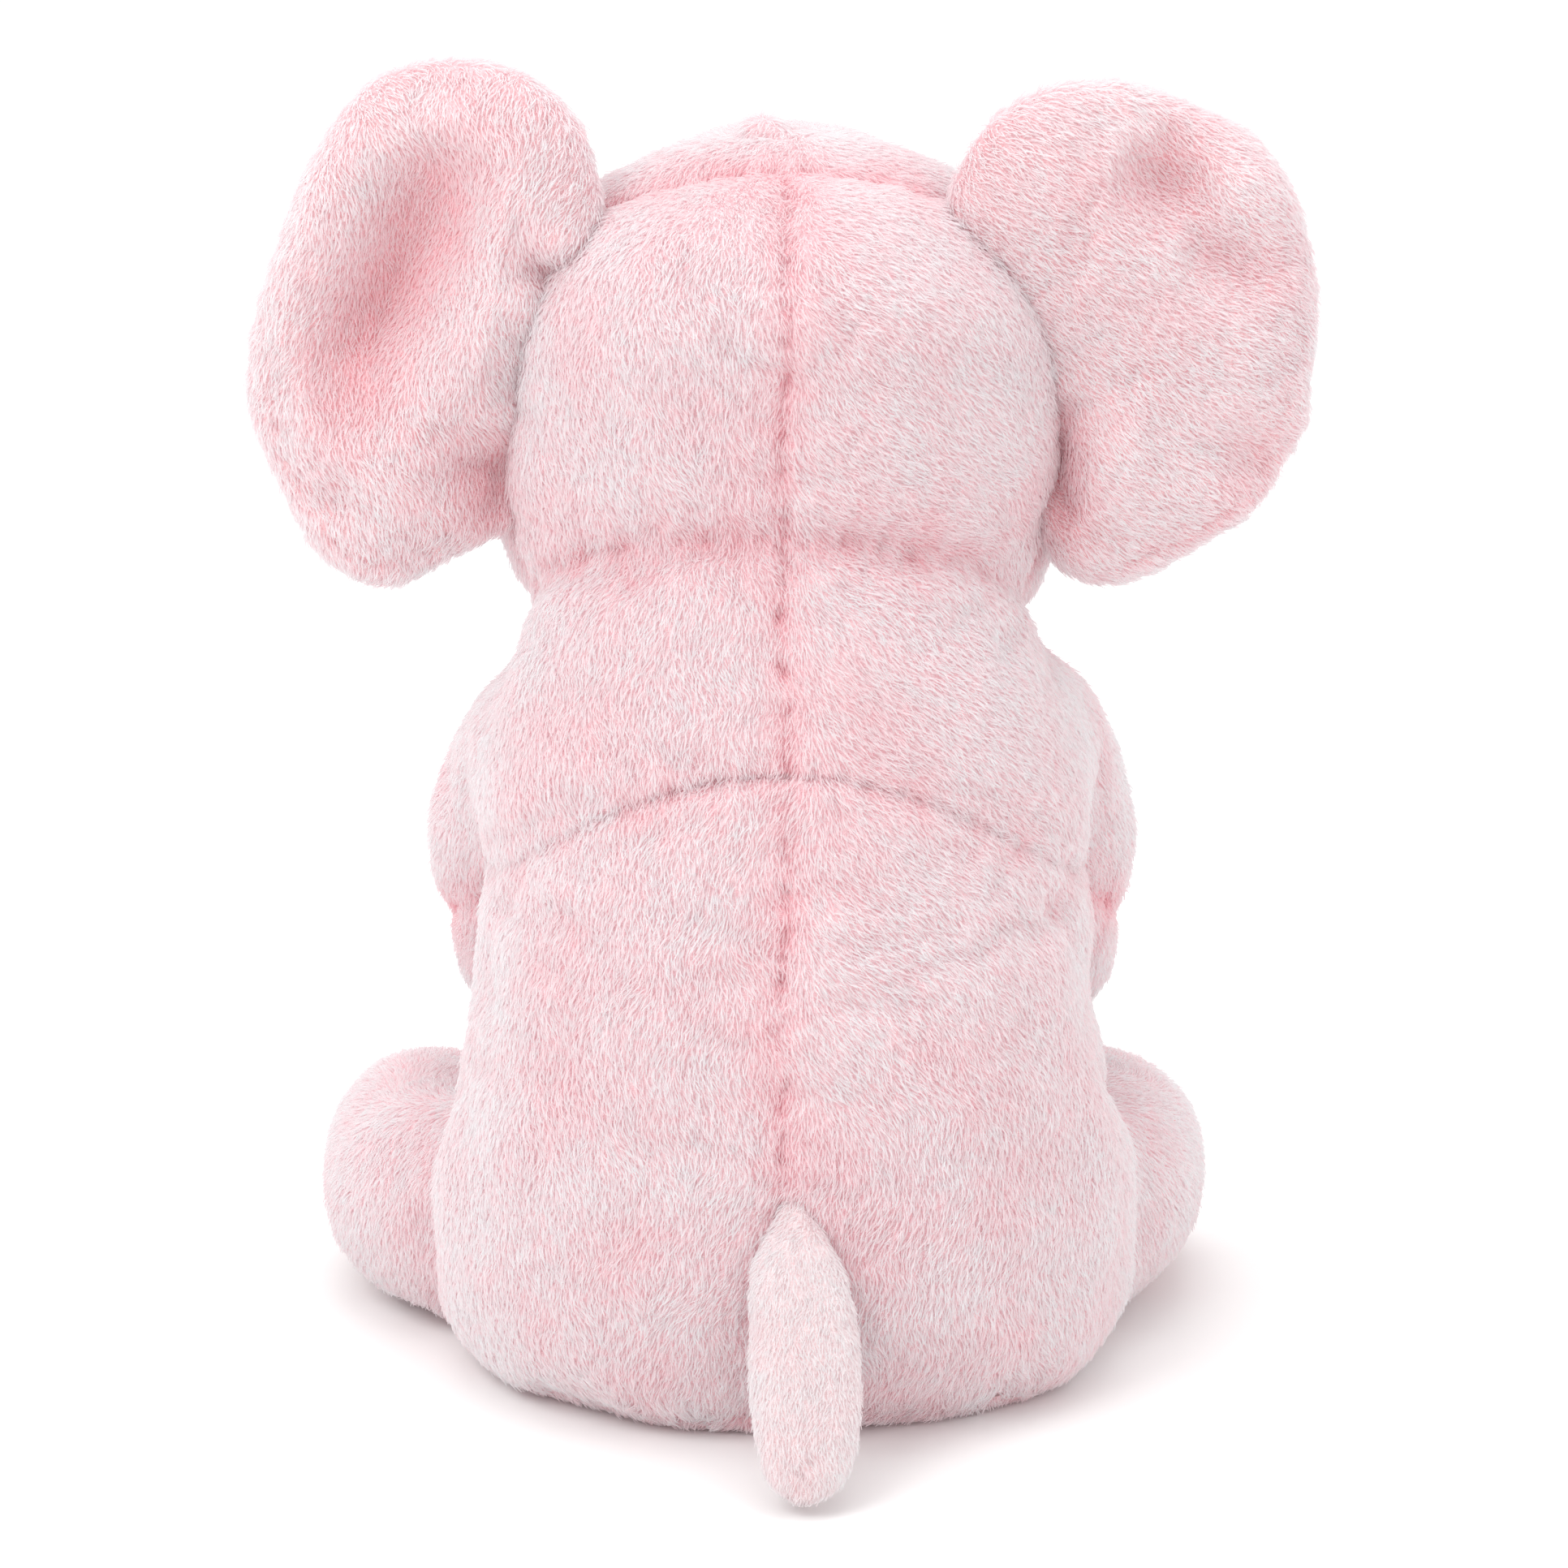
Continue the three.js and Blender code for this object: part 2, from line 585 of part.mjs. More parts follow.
function addArms() {
  const lean = THREE.MathUtils.radToDeg(Math.atan2(SHOULDER[1] - PAW[1], SHOULDER[2] - PAW[2]));
  const tilt = -lean;
  const rings = [
    ...ballRings(SHOULDER, SHOULDER_BALL, tilt, 4, 1),
    [...SHOULDER, SHOULDER_BALL, SHOULDER_BALL, tilt],
    [26.8, -7, 65.5, ARM_RADIUS, ARM_RADIUS, tilt],
    [...ARM_BOW, ARM_RADIUS, ARM_RADIUS, tilt],
    [28.2, -16.5, 47.5, ARM_RADIUS - 0.4, ARM_RADIUS - 0.4, tilt],
    [...PAW, ARM_RADIUS - 0.8, ARM_RADIUS - 0.8, tilt],
    [26, -22.6, 35.8, ARM_RADIUS - 2.2, ARM_RADIUS - 2.2, tilt],
    [25.8, -23.4, 34, ARM_RADIUS - 4.5, ARM_RADIUS - 4.5, tilt],
  ];
  const names = ['arm_outer', 'arm_inner', 'paw_pad', 'arm_stuffing'];
  addLimb({ rings, names, caps: [2.6, 8], material: BODY_PILE, mirror: true });
}

function addLegs() {
  const tilt = 90;
  const [fx, fy, fz] = FOOT;
  const rings = [
    ...ballRings(HIP, HIP_BALL, tilt, 4, -1),
    [...HIP, HIP_BALL, HIP_BALL, tilt],
    [35.4, -13.5, 13.2, LEG_RADIUS, LEG_RADIUS, tilt],
    [fx, fy, fz, LEG_RADIUS, LEG_RADIUS, tilt],
    [38.6, -33, 12.4, LEG_RADIUS - 0.8, LEG_RADIUS - 0.8, tilt],
    [39, -37, 11.8, LEG_RADIUS - 3.4, LEG_RADIUS - 3.4, tilt],
    [39.1, -38.4, 11.6, LEG_RADIUS - 7, LEG_RADIUS - 7, tilt],
  ];
  const names = ['leg_outer', 'leg_inner', 'sole', 'leg_stuffing'];
  addLimb({ rings, names, caps: [2.6, 7], material: BODY_PILE, mirror: true });
}

function addTrunk() {
  const rings = [
    ...ballRings(TRUNK_ROOT, TRUNK_BALL, 90, 4, -1),
    [...TRUNK_ROOT, TRUNK_BALL, TRUNK_BALL, 92],
    [0, -40, 101.6, 8.3, 8.3, 114],
    [0, -46, 95, 7.8, 7.8, 144],
    [0, -49, 86.5, 7.2, 7.2, 166],
    [0, -50.4, 77.5, 6.9, 6.9, 176],
    [0, -50.9, 71, 6.8, 6.8, 178],
    [0, -51, 69.4, 5, 5, 178],
  ];
  const names = ['trunk_left', 'trunk_right', 'trunk_tip', 'trunk_stuffing'];
  addLimb({ rings, names, caps: [3, 9], material: BODY_PILE, mirror: false });
}

function addTail() {
  const rings = [
    ...ballRings(TAIL_ROOT, TAIL_BALL, 60, 3, 1),
    [...TAIL_ROOT, TAIL_BALL, TAIL_BALL, 60],
    [0, 43, 25, 3.5, 3.3, 52],
    [0, 46.8, 20, 5, 4.6, 36],
    [0, 49.8, 14.6, 5.7, 5.1, 28],
    [0, 52.4, 9.6, 5.3, 4.8, 26],
    [0, 54.2, 5.9, 4, 3.6, 26],
    [0, 54.9, 4.4, 2, 1.8, 26],
  ];
  const tail = new SoftBody(rings);
  const skin = 1.2;
  const turnStep = 22.5;
  const outside = tail.filling({ v: [2.4, tail.last], inset: 0, turnStep });
  const hollow = tail.filling({ v: [0.6, tail.last - 1], inset: skin, turnStep });
  const filling = tail.filling({ v: [0, tail.last - 1.2], inset: skin + GAP, turnStep });
  addMesh('tail_skin', carve(outside, [hollow]), TAIL_PILE);
  addMesh('tail_stuffing', filling, WADDING);
}

addBackPanels();
addBelly();
addBase();
addTorsoFilling();
addHeadSkin();
addHeadFilling();
addEyes();
addEars();
addArms();
addLegs();
addTrunk();
addTail();

export default elephant;
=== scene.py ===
"""A small stuffed elephant in pale pink pile fabric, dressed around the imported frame.

Every soft piece starts as a smooth form, a stack of ellipses along a spine. Forms melt
together into one skin, the skin is puffed out by a cloth simulation with its seams held
still, and is then cut along its seams into the panels that the toy is sewn from.
"""

import logging
import math
from dataclasses import dataclass, field
from enum import Enum
from typing import Callable, Sequence

import bpy
import numpy as np
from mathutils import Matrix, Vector

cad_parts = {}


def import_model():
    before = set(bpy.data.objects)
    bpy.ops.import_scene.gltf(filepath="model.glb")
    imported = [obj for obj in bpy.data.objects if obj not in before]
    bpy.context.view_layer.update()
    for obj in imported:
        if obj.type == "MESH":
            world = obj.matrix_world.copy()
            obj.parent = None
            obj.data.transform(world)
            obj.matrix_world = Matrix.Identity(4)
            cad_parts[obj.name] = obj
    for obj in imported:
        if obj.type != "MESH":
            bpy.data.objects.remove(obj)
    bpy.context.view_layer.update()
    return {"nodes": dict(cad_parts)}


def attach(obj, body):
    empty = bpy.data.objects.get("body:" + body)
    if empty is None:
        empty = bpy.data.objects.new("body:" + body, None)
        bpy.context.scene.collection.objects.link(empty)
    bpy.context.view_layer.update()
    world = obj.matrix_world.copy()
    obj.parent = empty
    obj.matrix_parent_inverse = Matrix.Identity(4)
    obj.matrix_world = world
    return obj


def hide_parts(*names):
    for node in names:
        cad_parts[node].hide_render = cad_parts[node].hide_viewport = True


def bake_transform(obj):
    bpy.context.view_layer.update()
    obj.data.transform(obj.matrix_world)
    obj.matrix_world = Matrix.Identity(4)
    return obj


MM = 0.001
FLOOR_SIZE = 6.0
FAR = 1e3
LOG = logging.getLogger("elephant")

Field = Callable[[np.ndarray], np.ndarray]


class Side(Enum):
    """The toy's own left and right; the value is the sign of X."""

    LEFT = 1
    RIGHT = -1

    @property
    def word(self) -> str:
        """The side's name as it ends a piece's name."""
        return self.name.lower()


# ---- forms ----------------------------------------------------------------------------------
@dataclass(frozen=True)
class Ring:
    """One ellipse of a form, in millimetres.

    A tilt of 0 degrees lays it flat, and more lifts its rear edge. The front half may be
    deeper or shallower than the rear half.
    """

    x: float
    y: float
    z: float
    half_width: float
    rear: float
    front: float
    tilt: float = 0.0

    @classmethod
    def round(cls, x: float, y: float, z: float, radius: float, tilt: float) -> "Ring":
        """A ring whose width and depth are the same."""
        return cls(x, y, z, radius, radius, radius, tilt)


def spline(values: np.ndarray, count: int) -> np.ndarray:
    """Catmull-Rom interpolation of rows of values.

    Args:
        values: one row for each ring.
        count: how many rows to return, spread evenly over the rings.

    Returns:
        The interpolated rows.
    """
    padded = np.vstack([2 * values[0] - values[1], values, 2 * values[-1] - values[-2]])
    place = np.linspace(0, len(values) - 1, count)
    low = np.minimum(place.astype(int), len(values) - 2)
    t = (place - low)[:, None]
    p0, p1, p2, p3 = (padded[low + k] for k in range(4))
    return 0.5 * (
        2 * p1
        + (p2 - p0) * t
        + (2 * p0 - 5 * p1 + 4 * p2 - p3) * t**2
        + (3 * p1 - p0 - 3 * p2 + p3) * t**3
    )


@dataclass(frozen=True)
class Form:
    """A solid form: rings along a spine, rounded at both ends by its smallest rings."""

    rings: tuple[Ring, ...]
    stations: int = 56

    def rows(self) -> np.ndarray:
        """The form's interpolated rings, one row of seven numbers for each station."""
        table = [[r.x, r.y, r.z, r.half_width, r.rear, r.front, r.tilt] for r in self.rings]
        rows = spline(np.array(table, float), self.stations)
        rows[:, 3:6] = np.maximum(rows[:, 3:6], 0.05)
        return rows

    def box(self, margin: float) -> tuple[np.ndarray, np.ndarray]:
        """The lowest and highest corners of a box around the form.

        Args:
            margin: room left all round, in millimetres.

        Returns:
            The two corners.
        """
        rows = self.rows()
        reach = rows[:, 3:6].max(axis=1)[:, None] + margin
        return (rows[:, :3] - reach).min(axis=0), (rows[:, :3] + reach).max(axis=0)

    def distance(self, points: np.ndarray) -> np.ndarray:
        """Signed distance of points from the form's surface, below 0 inside.

        Args:
            points: N by 3, in millimetres.

        Returns:
            N distances, near enough to the true ones close to the surface.
        """
        rows = self.rows()
        low, high = self.box(9.0)
        out = np.full(len(points), FAR)
        near = np.flatnonzero(((points > low) & (points < high)).all(axis=1))
        for part in np.array_split(near, max(1, len(near) // 30000)):
            if len(part):
                out[part] = self._distance(points[part], rows)
        return out

    def _distance(self, points: np.ndarray, rows: np.ndarray) -> np.ndarray:
        """The distance of points that are near the form, from its interpolated rings."""
        centre, tilt = rows[:, :3], np.radians(rows[:, 6])
        back = np.stack([np.zeros_like(tilt), np.cos(tilt), np.sin(tilt)], axis=1)
        spine = np.stack([np.zeros_like(tilt), -np.sin(tilt), np.cos(tilt)], axis=1)
        if ((centre[-1] - centre[0]) * spine.mean(axis=0)).sum() < 0:
            spine = -spine
        offset = points[:, None, :] - centre[None]
        above = np.einsum("nmk,mk->nm", offset, spine)
        reach = np.linalg.norm(offset, axis=2) - 2.2 * rows[:, 3:6].max()
        cost = np.abs(above) + 4 * np.maximum(reach, 0)
        best = cost.argmin(axis=1)
        every = np.arange(len(points))
        side = np.where(above[every, best] > 0, 1, -1)
        other = np.clip(best + side, 0, len(rows) - 1)
        gap = above[every, best] - above[every, other]
        share = np.where(np.abs(gap) > 1e-6, above[every, best] / np.where(gap == 0, 1, gap), 0)
        share = np.clip(share, 0, 1)
        ring = rows[best] + (rows[other] - rows[best]) * share[:, None]
        axis = back[best] + (back[other] - back[best]) * share[:, None]
        along = np.einsum("nk,nk->n", points - ring[:, :3], np.cross(axis, [1.0, 0, 0]))
        u = points[:, 0] - ring[:, 0]
        w = np.einsum("nk,nk->n", points - ring[:, :3], axis)
        depth = np.where(w > 0, ring[:, 4], ring[:, 5])
        length = np.hypot(u, w) + 1e-9
        ratio = np.hypot(u / ring[:, 3], w / depth) + 1e-9
        flat = length * (1 - 1 / ratio)
        past = np.maximum(np.abs(along) - 0.25, 0)
        return np.where(past > 0, np.hypot(np.maximum(flat, 0), past), flat)


def melt(a: np.ndarray, b: np.ndarray, reach: float) -> np.ndarray:
    """Joins two distance fields with a soft fillet.

    Args:
        a: the first field.
        b: the second field.
        reach: the fillet's size in millimetres.

    Returns:
        The joined field.
    """
    mix = np.clip(0.5 + 0.5 * (b - a) / reach, 0, 1)
    return b + (a - b) * mix - reach * mix * (1 - mix)


def keep(a: np.ndarray, b: np.ndarray, reach: float) -> np.ndarray:
    """The part that two fields share, with a softened edge, as melt does for a join."""
    return -melt(-a, -b, reach)


def sampled(shape: Field, grid: np.ndarray) -> np.ndarray:
    """A field's values on a grid, worked out finely only near its surface.

    Args:
        shape: the field, called with N by 3 points.
        grid: the grid's points, with three axes and a last one for the coordinates.

    Returns:
        The values, which far from the surface are those of a neighbour.
    """
    coarse = shape(grid[::3, ::3, ::3].reshape(-1, 3)).reshape([(n + 2) // 3 for n in grid.shape[:3]])
    values = coarse.repeat(3, axis=0).repeat(3, axis=1).repeat(3, axis=2)
    values = values[:grid.shape[0], :grid.shape[1], :grid.shape[2]].copy()
    near = np.abs(values) < 8
    values[near] = shape(grid[near])
    return values


@dataclass
class Skin:
    """A mesh in the making: points in millimetres, and quads."""

    points: np.ndarray
    quads: np.ndarray

    @classmethod
    def around(cls, shape: Field, low: Sequence[float], high: Sequence[float], step: float) -> "Skin":
        """The surface where a field is 0, as an even net of quads.

        Args:
            shape: the field, called with N by 3 points.
            low: the lowest corner of the box to search.
            high: the highest corner.
            step: the net's spacing in millimetres.

        Returns:
            The closed skin.
        """
        axes = [np.arange(a, b + step, step) for a, b in zip(low, high)]
        grid = np.stack(np.meshgrid(*axes, indexing="ij"), axis=-1)
        size = grid.shape[:3]
        field = sampled(shape, grid)
        slope = np.sqrt(sum(g**2 for g in np.gradient(np.clip(field, -20, 20), step)))
        field = field / np.clip(slope, 0.6, 4)
        cells = tuple(n - 1 for n in size)
        total = np.zeros(cells + (3,))
        count = np.zeros(cells)
        corners = [(i, j, k) for i in (0, 1) for j in (0, 1) for k in (0, 1)]
        pairs = [
            (a, b) for a in corners for b in corners
            if sum(b) - sum(a) == 1 and all(q >= p for p, q in zip(a, b))
        ]

        def at(values: np.ndarray, corner: tuple[int, int, int]) -> np.ndarray:
            """The values at one corner of every cell."""
            i, j, k = corner
            return values[i:i + cells[0], j:j + cells[1], k:k + cells[2]]

        for a, b in pairs:
            fa, fb = at(field, a), at(field, b)
            cross = (fa < 0) != (fb < 0)
            t = np.where(cross, fa / np.where(fa == fb, 1, fa - fb), 0)[..., None]
            place = np.array(a) + t * (np.array(b) - np.array(a))
            total += place * cross[..., None]
            count += cross
        active = count > 0
        name = np.full(cells, -1)
        name[active] = np.arange(active.sum())
        index = np.argwhere(active)
        points = (index + total[active] / count[active][:, None]) * step + np.array([a[0] for a in axes])
        quads = []
        inside = field < 0
        for axis in range(3):
            one, two = (axis + 1) % 3, (axis + 2) % 3
            first = [slice(1, -1)] * 3
            first[axis] = slice(0, -1)
            second = list(first)
            second[axis] = slice(1, None)
            edge_in, edge_out = inside[tuple(first)], inside[tuple(second)]
            for sign, mask in ((1, edge_in & ~edge_out), (-1, ~edge_in & edge_out)):
                base = np.argwhere(mask)
                base[:, one] += 1
                base[:, two] += 1
                ring = []
                for da, db in ((0, 0), (-1, 0), (-1, -1), (0, -1)):
                    cell = base.copy()
                    cell[:, one] += da
                    cell[:, two] += db
                    ring.append(name[cell[:, 0], cell[:, 1], cell[:, 2]])
                quad = np.stack(ring, axis=1)
                quads.append(quad if sign > 0 else quad[:, ::-1])
        quads = np.vstack(quads)
        return cls(points, quads[(quads >= 0).all(axis=1)])

    def normals(self) -> np.ndarray:
        """The outward direction at every point."""
        a, b, c, d = (self.points[self.quads[:, k]] for k in range(4))
        face = np.cross(c - a, d - b)
        total = np.zeros_like(self.points)
        for axis in range(3):
            weights = np.repeat(face[:, axis], 4)
            total[:, axis] = np.bincount(self.quads.ravel(), weights, len(self.points))
        return total / (np.linalg.norm(total, axis=1)[:, None] + 1e-9)

    def centres(self) -> np.ndarray:
        """The middle of every quad."""
        return self.points[self.quads].mean(axis=1)

    def mesh(self, name: str) -> bpy.types.Mesh:
        """The skin as a mesh in metres."""
        made = bpy.data.meshes.new(name)
        made.from_pydata((self.points * MM).tolist(), [], self.quads.tolist())
        return made

    def refined(self) -> "Skin":
        """The skin with every quad cut in four and smoothed."""
        holder = bpy.data.objects.new("refining", self.mesh("refining"))
        bpy.context.scene.collection.objects.link(holder)
        holder.modifiers.new("finer", "SUBSURF").levels = 1
        made = holder.evaluated_get(bpy.context.evaluated_depsgraph_get()).data
        points = np.empty(len(made.vertices) * 3)
        made.vertices.foreach_get("co", points)
        quads = np.empty(len(made.loops), int)
        made.loops.foreach_get("vertex_index", quads)
        finer = Skin(points.reshape(-1, 3) / MM, quads.reshape(-1, 4))
        bpy.data.meshes.remove(holder.data)
        return finer

    def eased(self, values: np.ndarray, rounds: int) -> np.ndarray:
        """Values at the points, evened out with their neighbours'.

        Args:
            values: one row for each point.
            rounds: how many times to even them out.

        Returns:
            The eased rows.
        """
        ends = np.vstack([self.quads[:, [k, (k + 1) % 4]] for k in range(4)])
        ends = np.vstack([ends, ends[:, ::-1]])
        count = np.bincount(ends[:, 0], minlength=len(self.points)) + 1e-9
        for _ in range(rounds):
            mean = np.empty_like(values)
            for axis in range(values.shape[1]):
                mean[:, axis] = np.bincount(ends[:, 0], values[ends[:, 1], axis], len(self.points)) / count
            values = 0.5 * (values + mean)
        return values


def smooth(values: np.ndarray, low: float, high: float) -> np.ndarray:
    """A soft step from 0 at low to 1 at high."""
    t = np.clip((values - low) / (high - low), 0, 1)
    return t * t * (3 - 2 * t)


@dataclass(frozen=True)
class Ripple:
    """Smooth seeded unevenness made of sine waves; most of its values are from -1 to 1."""

    seed: int
    length: tuple[float, float, float]
    waves: int = 18

    def at(self, points: np.ndarray) -> np.ndarray:
        """The unevenness at points in millimetres."""
        draw = np.random.default_rng(self.seed)
        turn = draw.normal(size=(self.waves, 3))
        turn *= draw.uniform(0.6, 1.5, (self.waves, 1)) / np.linalg.norm(turn, axis=1)[:, None]
        angle = 2 * math.pi * (points / np.array(self.length)) @ turn.T
        return np.sin(angle + draw.uniform(0, 2 * math.pi, self.waves)).sum(axis=1) / math.sqrt(self.waves)


# ---- seams and folds ------------------------------------------------------------------------
@dataclass(frozen=True)
class Seam:
    """A line of stitches: a surface that crosses the skin, and how hard the thread pulls it in."""

    offset: Field
    along: Field
    present: Field
    depth: float = 1.0
    width: float = 0.95
    pitch: float = 2.8
    pinch: float = 0.55
    shoulder: float = 0.5

    def pull(self, points: np.ndarray) -> np.ndarray:
        """How far the stitches draw points inwards, in millimetres."""
        away = self.offset(points)
        place = self.along(points)
        wander = 0.35 * Ripple(11, (7.0, 7.0, 7.0)).at(points)
        uneven = np.clip(0.75 + 0.5 * Ripple(12, (4.2, 4.2, 4.2)).at(points), 0.15, 1.4)
        beat = np.maximum(np.cos(2 * math.pi * (place / self.pitch + wander)), -0.4)
        line = np.exp(-((away / self.width) ** 2)) * (self.depth + self.pinch * beat) * uneven
        slope = self.shoulder * np.exp(-((away / (3.4 * self.width)) ** 2))
        pucker = 0.13 * np.sin(2 * math.pi * place / 5.3 + 5 * wander) * np.exp(-np.abs(away) / 3.5)
        return (line + slope + pucker) * self.present(points)

    def near(self, points: np.ndarray, reach: float) -> np.ndarray:
        """Whether points lie on the seam, within a distance."""
        return (np.abs(self.offset(points)) < reach) & (self.present(points) > 0.5)


@dataclass(frozen=True)
class Fold:
    """A soft crease between two places, with the cloth bulging on both sides of it."""

    start: tuple[float, float, float]
    end: tuple[float, float, float]
    depth: float
    width: float
    bulge: float = 0.35

    def pull(self, points: np.ndarray) -> np.ndarray:
        """How far the crease draws points inwards, below 0 where they bulge."""
        a, b = np.array(self.start), np.array(self.end)
        run = b - a
        share = np.clip((points - a) @ run / (run @ run), 0, 1)
        away = np.linalg.norm(points - (a + share[:, None] * run), axis=1)
        ends = np.sin(math.pi * np.clip(share, 0.03, 0.97))
        groove = np.exp(-((away / self.width) ** 2))
        sides = self.bulge * np.exp(-(((away - 2.1 * self.width) / self.width) ** 2))
        return self.depth * ends * (groove - sides)


@dataclass(frozen=True)
class MidSeam:
    """The arched seam across the middle of the back, between the upper back and the haunches."""

    top: float = 74.4
    fall: float = 0.0158

    def height(self, points: np.ndarray) -> np.ndarray:
        """How far points lie above the seam's surface, in millimetres."""
        return points[:, 2] - (self.top - self.fall * points[:, 0] ** 2)


@dataclass(frozen=True)
class NeckSeam:
    """The leaning plane where the head is sewn to the body."""

    middle: tuple[float, float, float] = (0.0, 2.2, 87.0)
    tilt: float = 31.0
    roll: float = -0.035

    def axis(self) -> np.ndarray:
        """The plane's normal, towards the head."""
        lean = math.radians(self.tilt)
        normal = np.array([self.roll, -math.sin(lean), math.cos(lean)])
        return normal / np.linalg.norm(normal)

    def height(self, points: np.ndarray) -> np.ndarray:
        """How far points lie on the head's side of the seam, in millimetres."""
        return (points - np.array(self.middle)) @ self.axis()


# ---- the toy's own forms ----------------------------------------------------------------------
CORE = Form((
    Ring(0, 3, -6, 27, 22, 20), Ring(0, 3.5, -1, 33, 26.5, 26), Ring(0, 4, 5, 36.2, 30, 29.5),
    Ring(0, 5, 15, 37.4, 32.4, 31), Ring(0, 5.5, 29, 36, 32, 30, 2), Ring(0, 5.5, 44, 33.4, 31, 28, 6),
    Ring(0, 5.2, 58, 32.4, 28, 26, 13), Ring(0, 4.6, 69, 31.2, 25.8, 24, 20), Ring(
        0.3, 4.2, 78, 29, 23.8, 22.5, 26,
    ),
    Ring(0.7, 3.4, 84.6, 27, 22.4, 20, 31), Ring(0.7, 1.5, 89, 23.6, 18, 16, 31),
))
HEAD = Form((
    Ring(0.6, 3.4, 82, 21, 17, 14, 31), Ring(0.6, 1.4, 88, 27, 23.2, 20, 31), Ring(
        0.3, -1.4, 95.6, 30, 27.4, 27, 28,
    ),
    Ring(0, -3.8, 105, 31, 29.6, 30.5, 21), Ring(0, -4.4, 115, 30, 30.6, 31, 13),
    Ring(0, -3.6, 123, 26.8, 28, 28.6, 7),
    Ring(0, -2.6, 129, 22.4, 23, 24, 4), Ring(0, -1.8, 133, 17, 17, 18, 2), Ring(
        0, -1.2, 135.6, 11.4, 11.4, 12,
    ),
    Ring(0, -0.8, 136.9, 6, 6, 6.4), Ring(0, -0.8, 137.3, 2.4, 2.4, 2.4), Ring(0, -0.8, 137.4, 0.6, 0.6, 0.6),
))
MID = MidSeam()
NECK = NeckSeam()
TRUNK_ROOT = -35.5
TRUNK_TIP = 73.5
FOREHEAD_LOW = 98.5
PAW_TOP = 46
SOLE = -33.5
BASE_HEIGHT = 2.2
BASE_MIDDLE = 4
BASE_RADIUS = 33.5


def limb(points: Sequence[Sequence[float]], tilt: float) -> Form:
    """A limb of round rings, each given as x, y, z and radius, with its two ends rounded."""
    rings = [Ring.round(x, y, z, r, tilt) for x, y, z, r in points]
    return Form(tuple(rings), stations=40)


def arm_form(side: Side) -> Form:
    """A foreleg, from inside the shoulder to the rounded paw."""
    s = side.value
    return limb([
        (19.4 * s, 3, 82, 2), (20.2 * s, 2, 80, 6.6), (23 * s, -2.6, 73, 10), (26.8 * s, -7.6, 64.4, 10.2),
        (29 * s, -12, 56, 9.8), (29.4 * s, -16.4, 47.6, 9.2), (28.2 * s, -20.6, 39.8, 8.8),
        (27.4 * s, -22.6, 35.8, 7.2), (27.2 * s, -23.4, 34, 3.4),
    ], -28)


def leg_form(side: Side) -> Form:
    """A hind leg, from inside the haunch to the sole."""
    if side is Side.LEFT:
        rows = [
            (18, 8, 15, 2), (20, 6, 15, 9), (30, -1, 14, 13.4), (37, -10, 13, 13.4), (39.6, -22, 12.6, 12.6),
            (40.2, -31, 12.2, 11.6), (40.4, -36.6, 11.8, 8.4), (40.4, -38, 11.8, 4),
        ]
    else:
        rows = [
            (-18, 8, 15, 2), (-20, 6, 15, 9), (-27, -1, 14.6, 13.4), (-32.4, -10, 14, 13.6),
            (-34.4, -22, 13.2, 12.9), (-35.6, -31, 12.4, 11.8), (-36.4, -36.6, 12, 8.4), (-36.4, -38, 12, 4),
        ]
    return limb(rows, 90)


ARMS = {side: arm_form(side) for side in Side}
LEGS = {side: leg_form(side) for side in Side}
TRUNK = limb([
    (0, -26, 106, 5), (0, -30, 105, 9.4), (0, -39.5, 101.8, 9), (0, -46, 95, 8), (0, -49, 86.5, 7.3),
    (0, -50.4, 77.5, 6.9), (0, -50.9, 71.4, 6.4), (0, -51, 69.6, 3.2),
], 135)
TAIL = Form((
    Ring(-1, 34.5, 30, 1.4, 1.4, 1.4, 40), Ring(-1.2, 37, 27.2, 2.4, 2, 2, 40), Ring(
        -1.6, 40.4, 22.6, 4.6, 2.9, 2.6, 38,
    ),
    Ring(-2, 44.4, 17, 5.7, 3.3, 3, 36), Ring(-2.2, 48.4, 11.4, 5.6, 3.2, 3, 36), Ring(
        -2.1, 51.6, 6.8, 4.8, 2.9, 2.8, 38,
    ),
    Ring(-2, 53.6, 4, 3.5, 2.2, 2.2, 40), Ring(-2, 54.6, 2.8, 1.6, 1, 1, 40),
), stations=40)


def crown_y(points: np.ndarray) -> np.ndarray:
    """How far points lie behind the seam that runs over the crown from ear to ear."""
    return points[:, 1] - (8.8 - 0.0078 * points[:, 0] ** 2)


def centre_x(points: np.ndarray) -> np.ndarray:
    """How far points lie to the left of the seam down the middle of the back, which wanders a little."""
    return points[:, 0] + 0.35 * np.sin(points[:, 2] / 9.0) + 0.18 * np.sin(points[:, 2] / 3.1 + 1.0)


def gusset_x(points: np.ndarray) -> np.ndarray:
    """How far points lie outside the forehead's panel, which narrows towards the trunk."""
    half_width = 14 - 6.5 * np.clip((5.8 - points[:, 1]) / 38, 0, 1)
    return np.abs(points[:, 0]) - half_width


def round_neck(points: np.ndarray) -> np.ndarray:
    """The place around the neck, in millimetres."""
    return 26 * np.arctan2(points[:, 0], points[:, 1] - 2.2)


def on_core(points: np.ndarray) -> np.ndarray:
    """1 on the torso's own surface, falling to 0 a few millimetres from it."""
    return 1 - smooth(np.abs(CORE.distance(points)), 1.5, 4.5)


def arm_split(points: np.ndarray, side: Side) -> np.ndarray:
    """How far points lie on the outer side of a foreleg's seam."""
    middle = np.interp(points[:, 2], [34, 40, 48, 56, 64, 74], [27.2, 28.2, 29.4, 29.0, 26.8, 23.0])
    return points[:, 0] * side.value - middle + 3.0


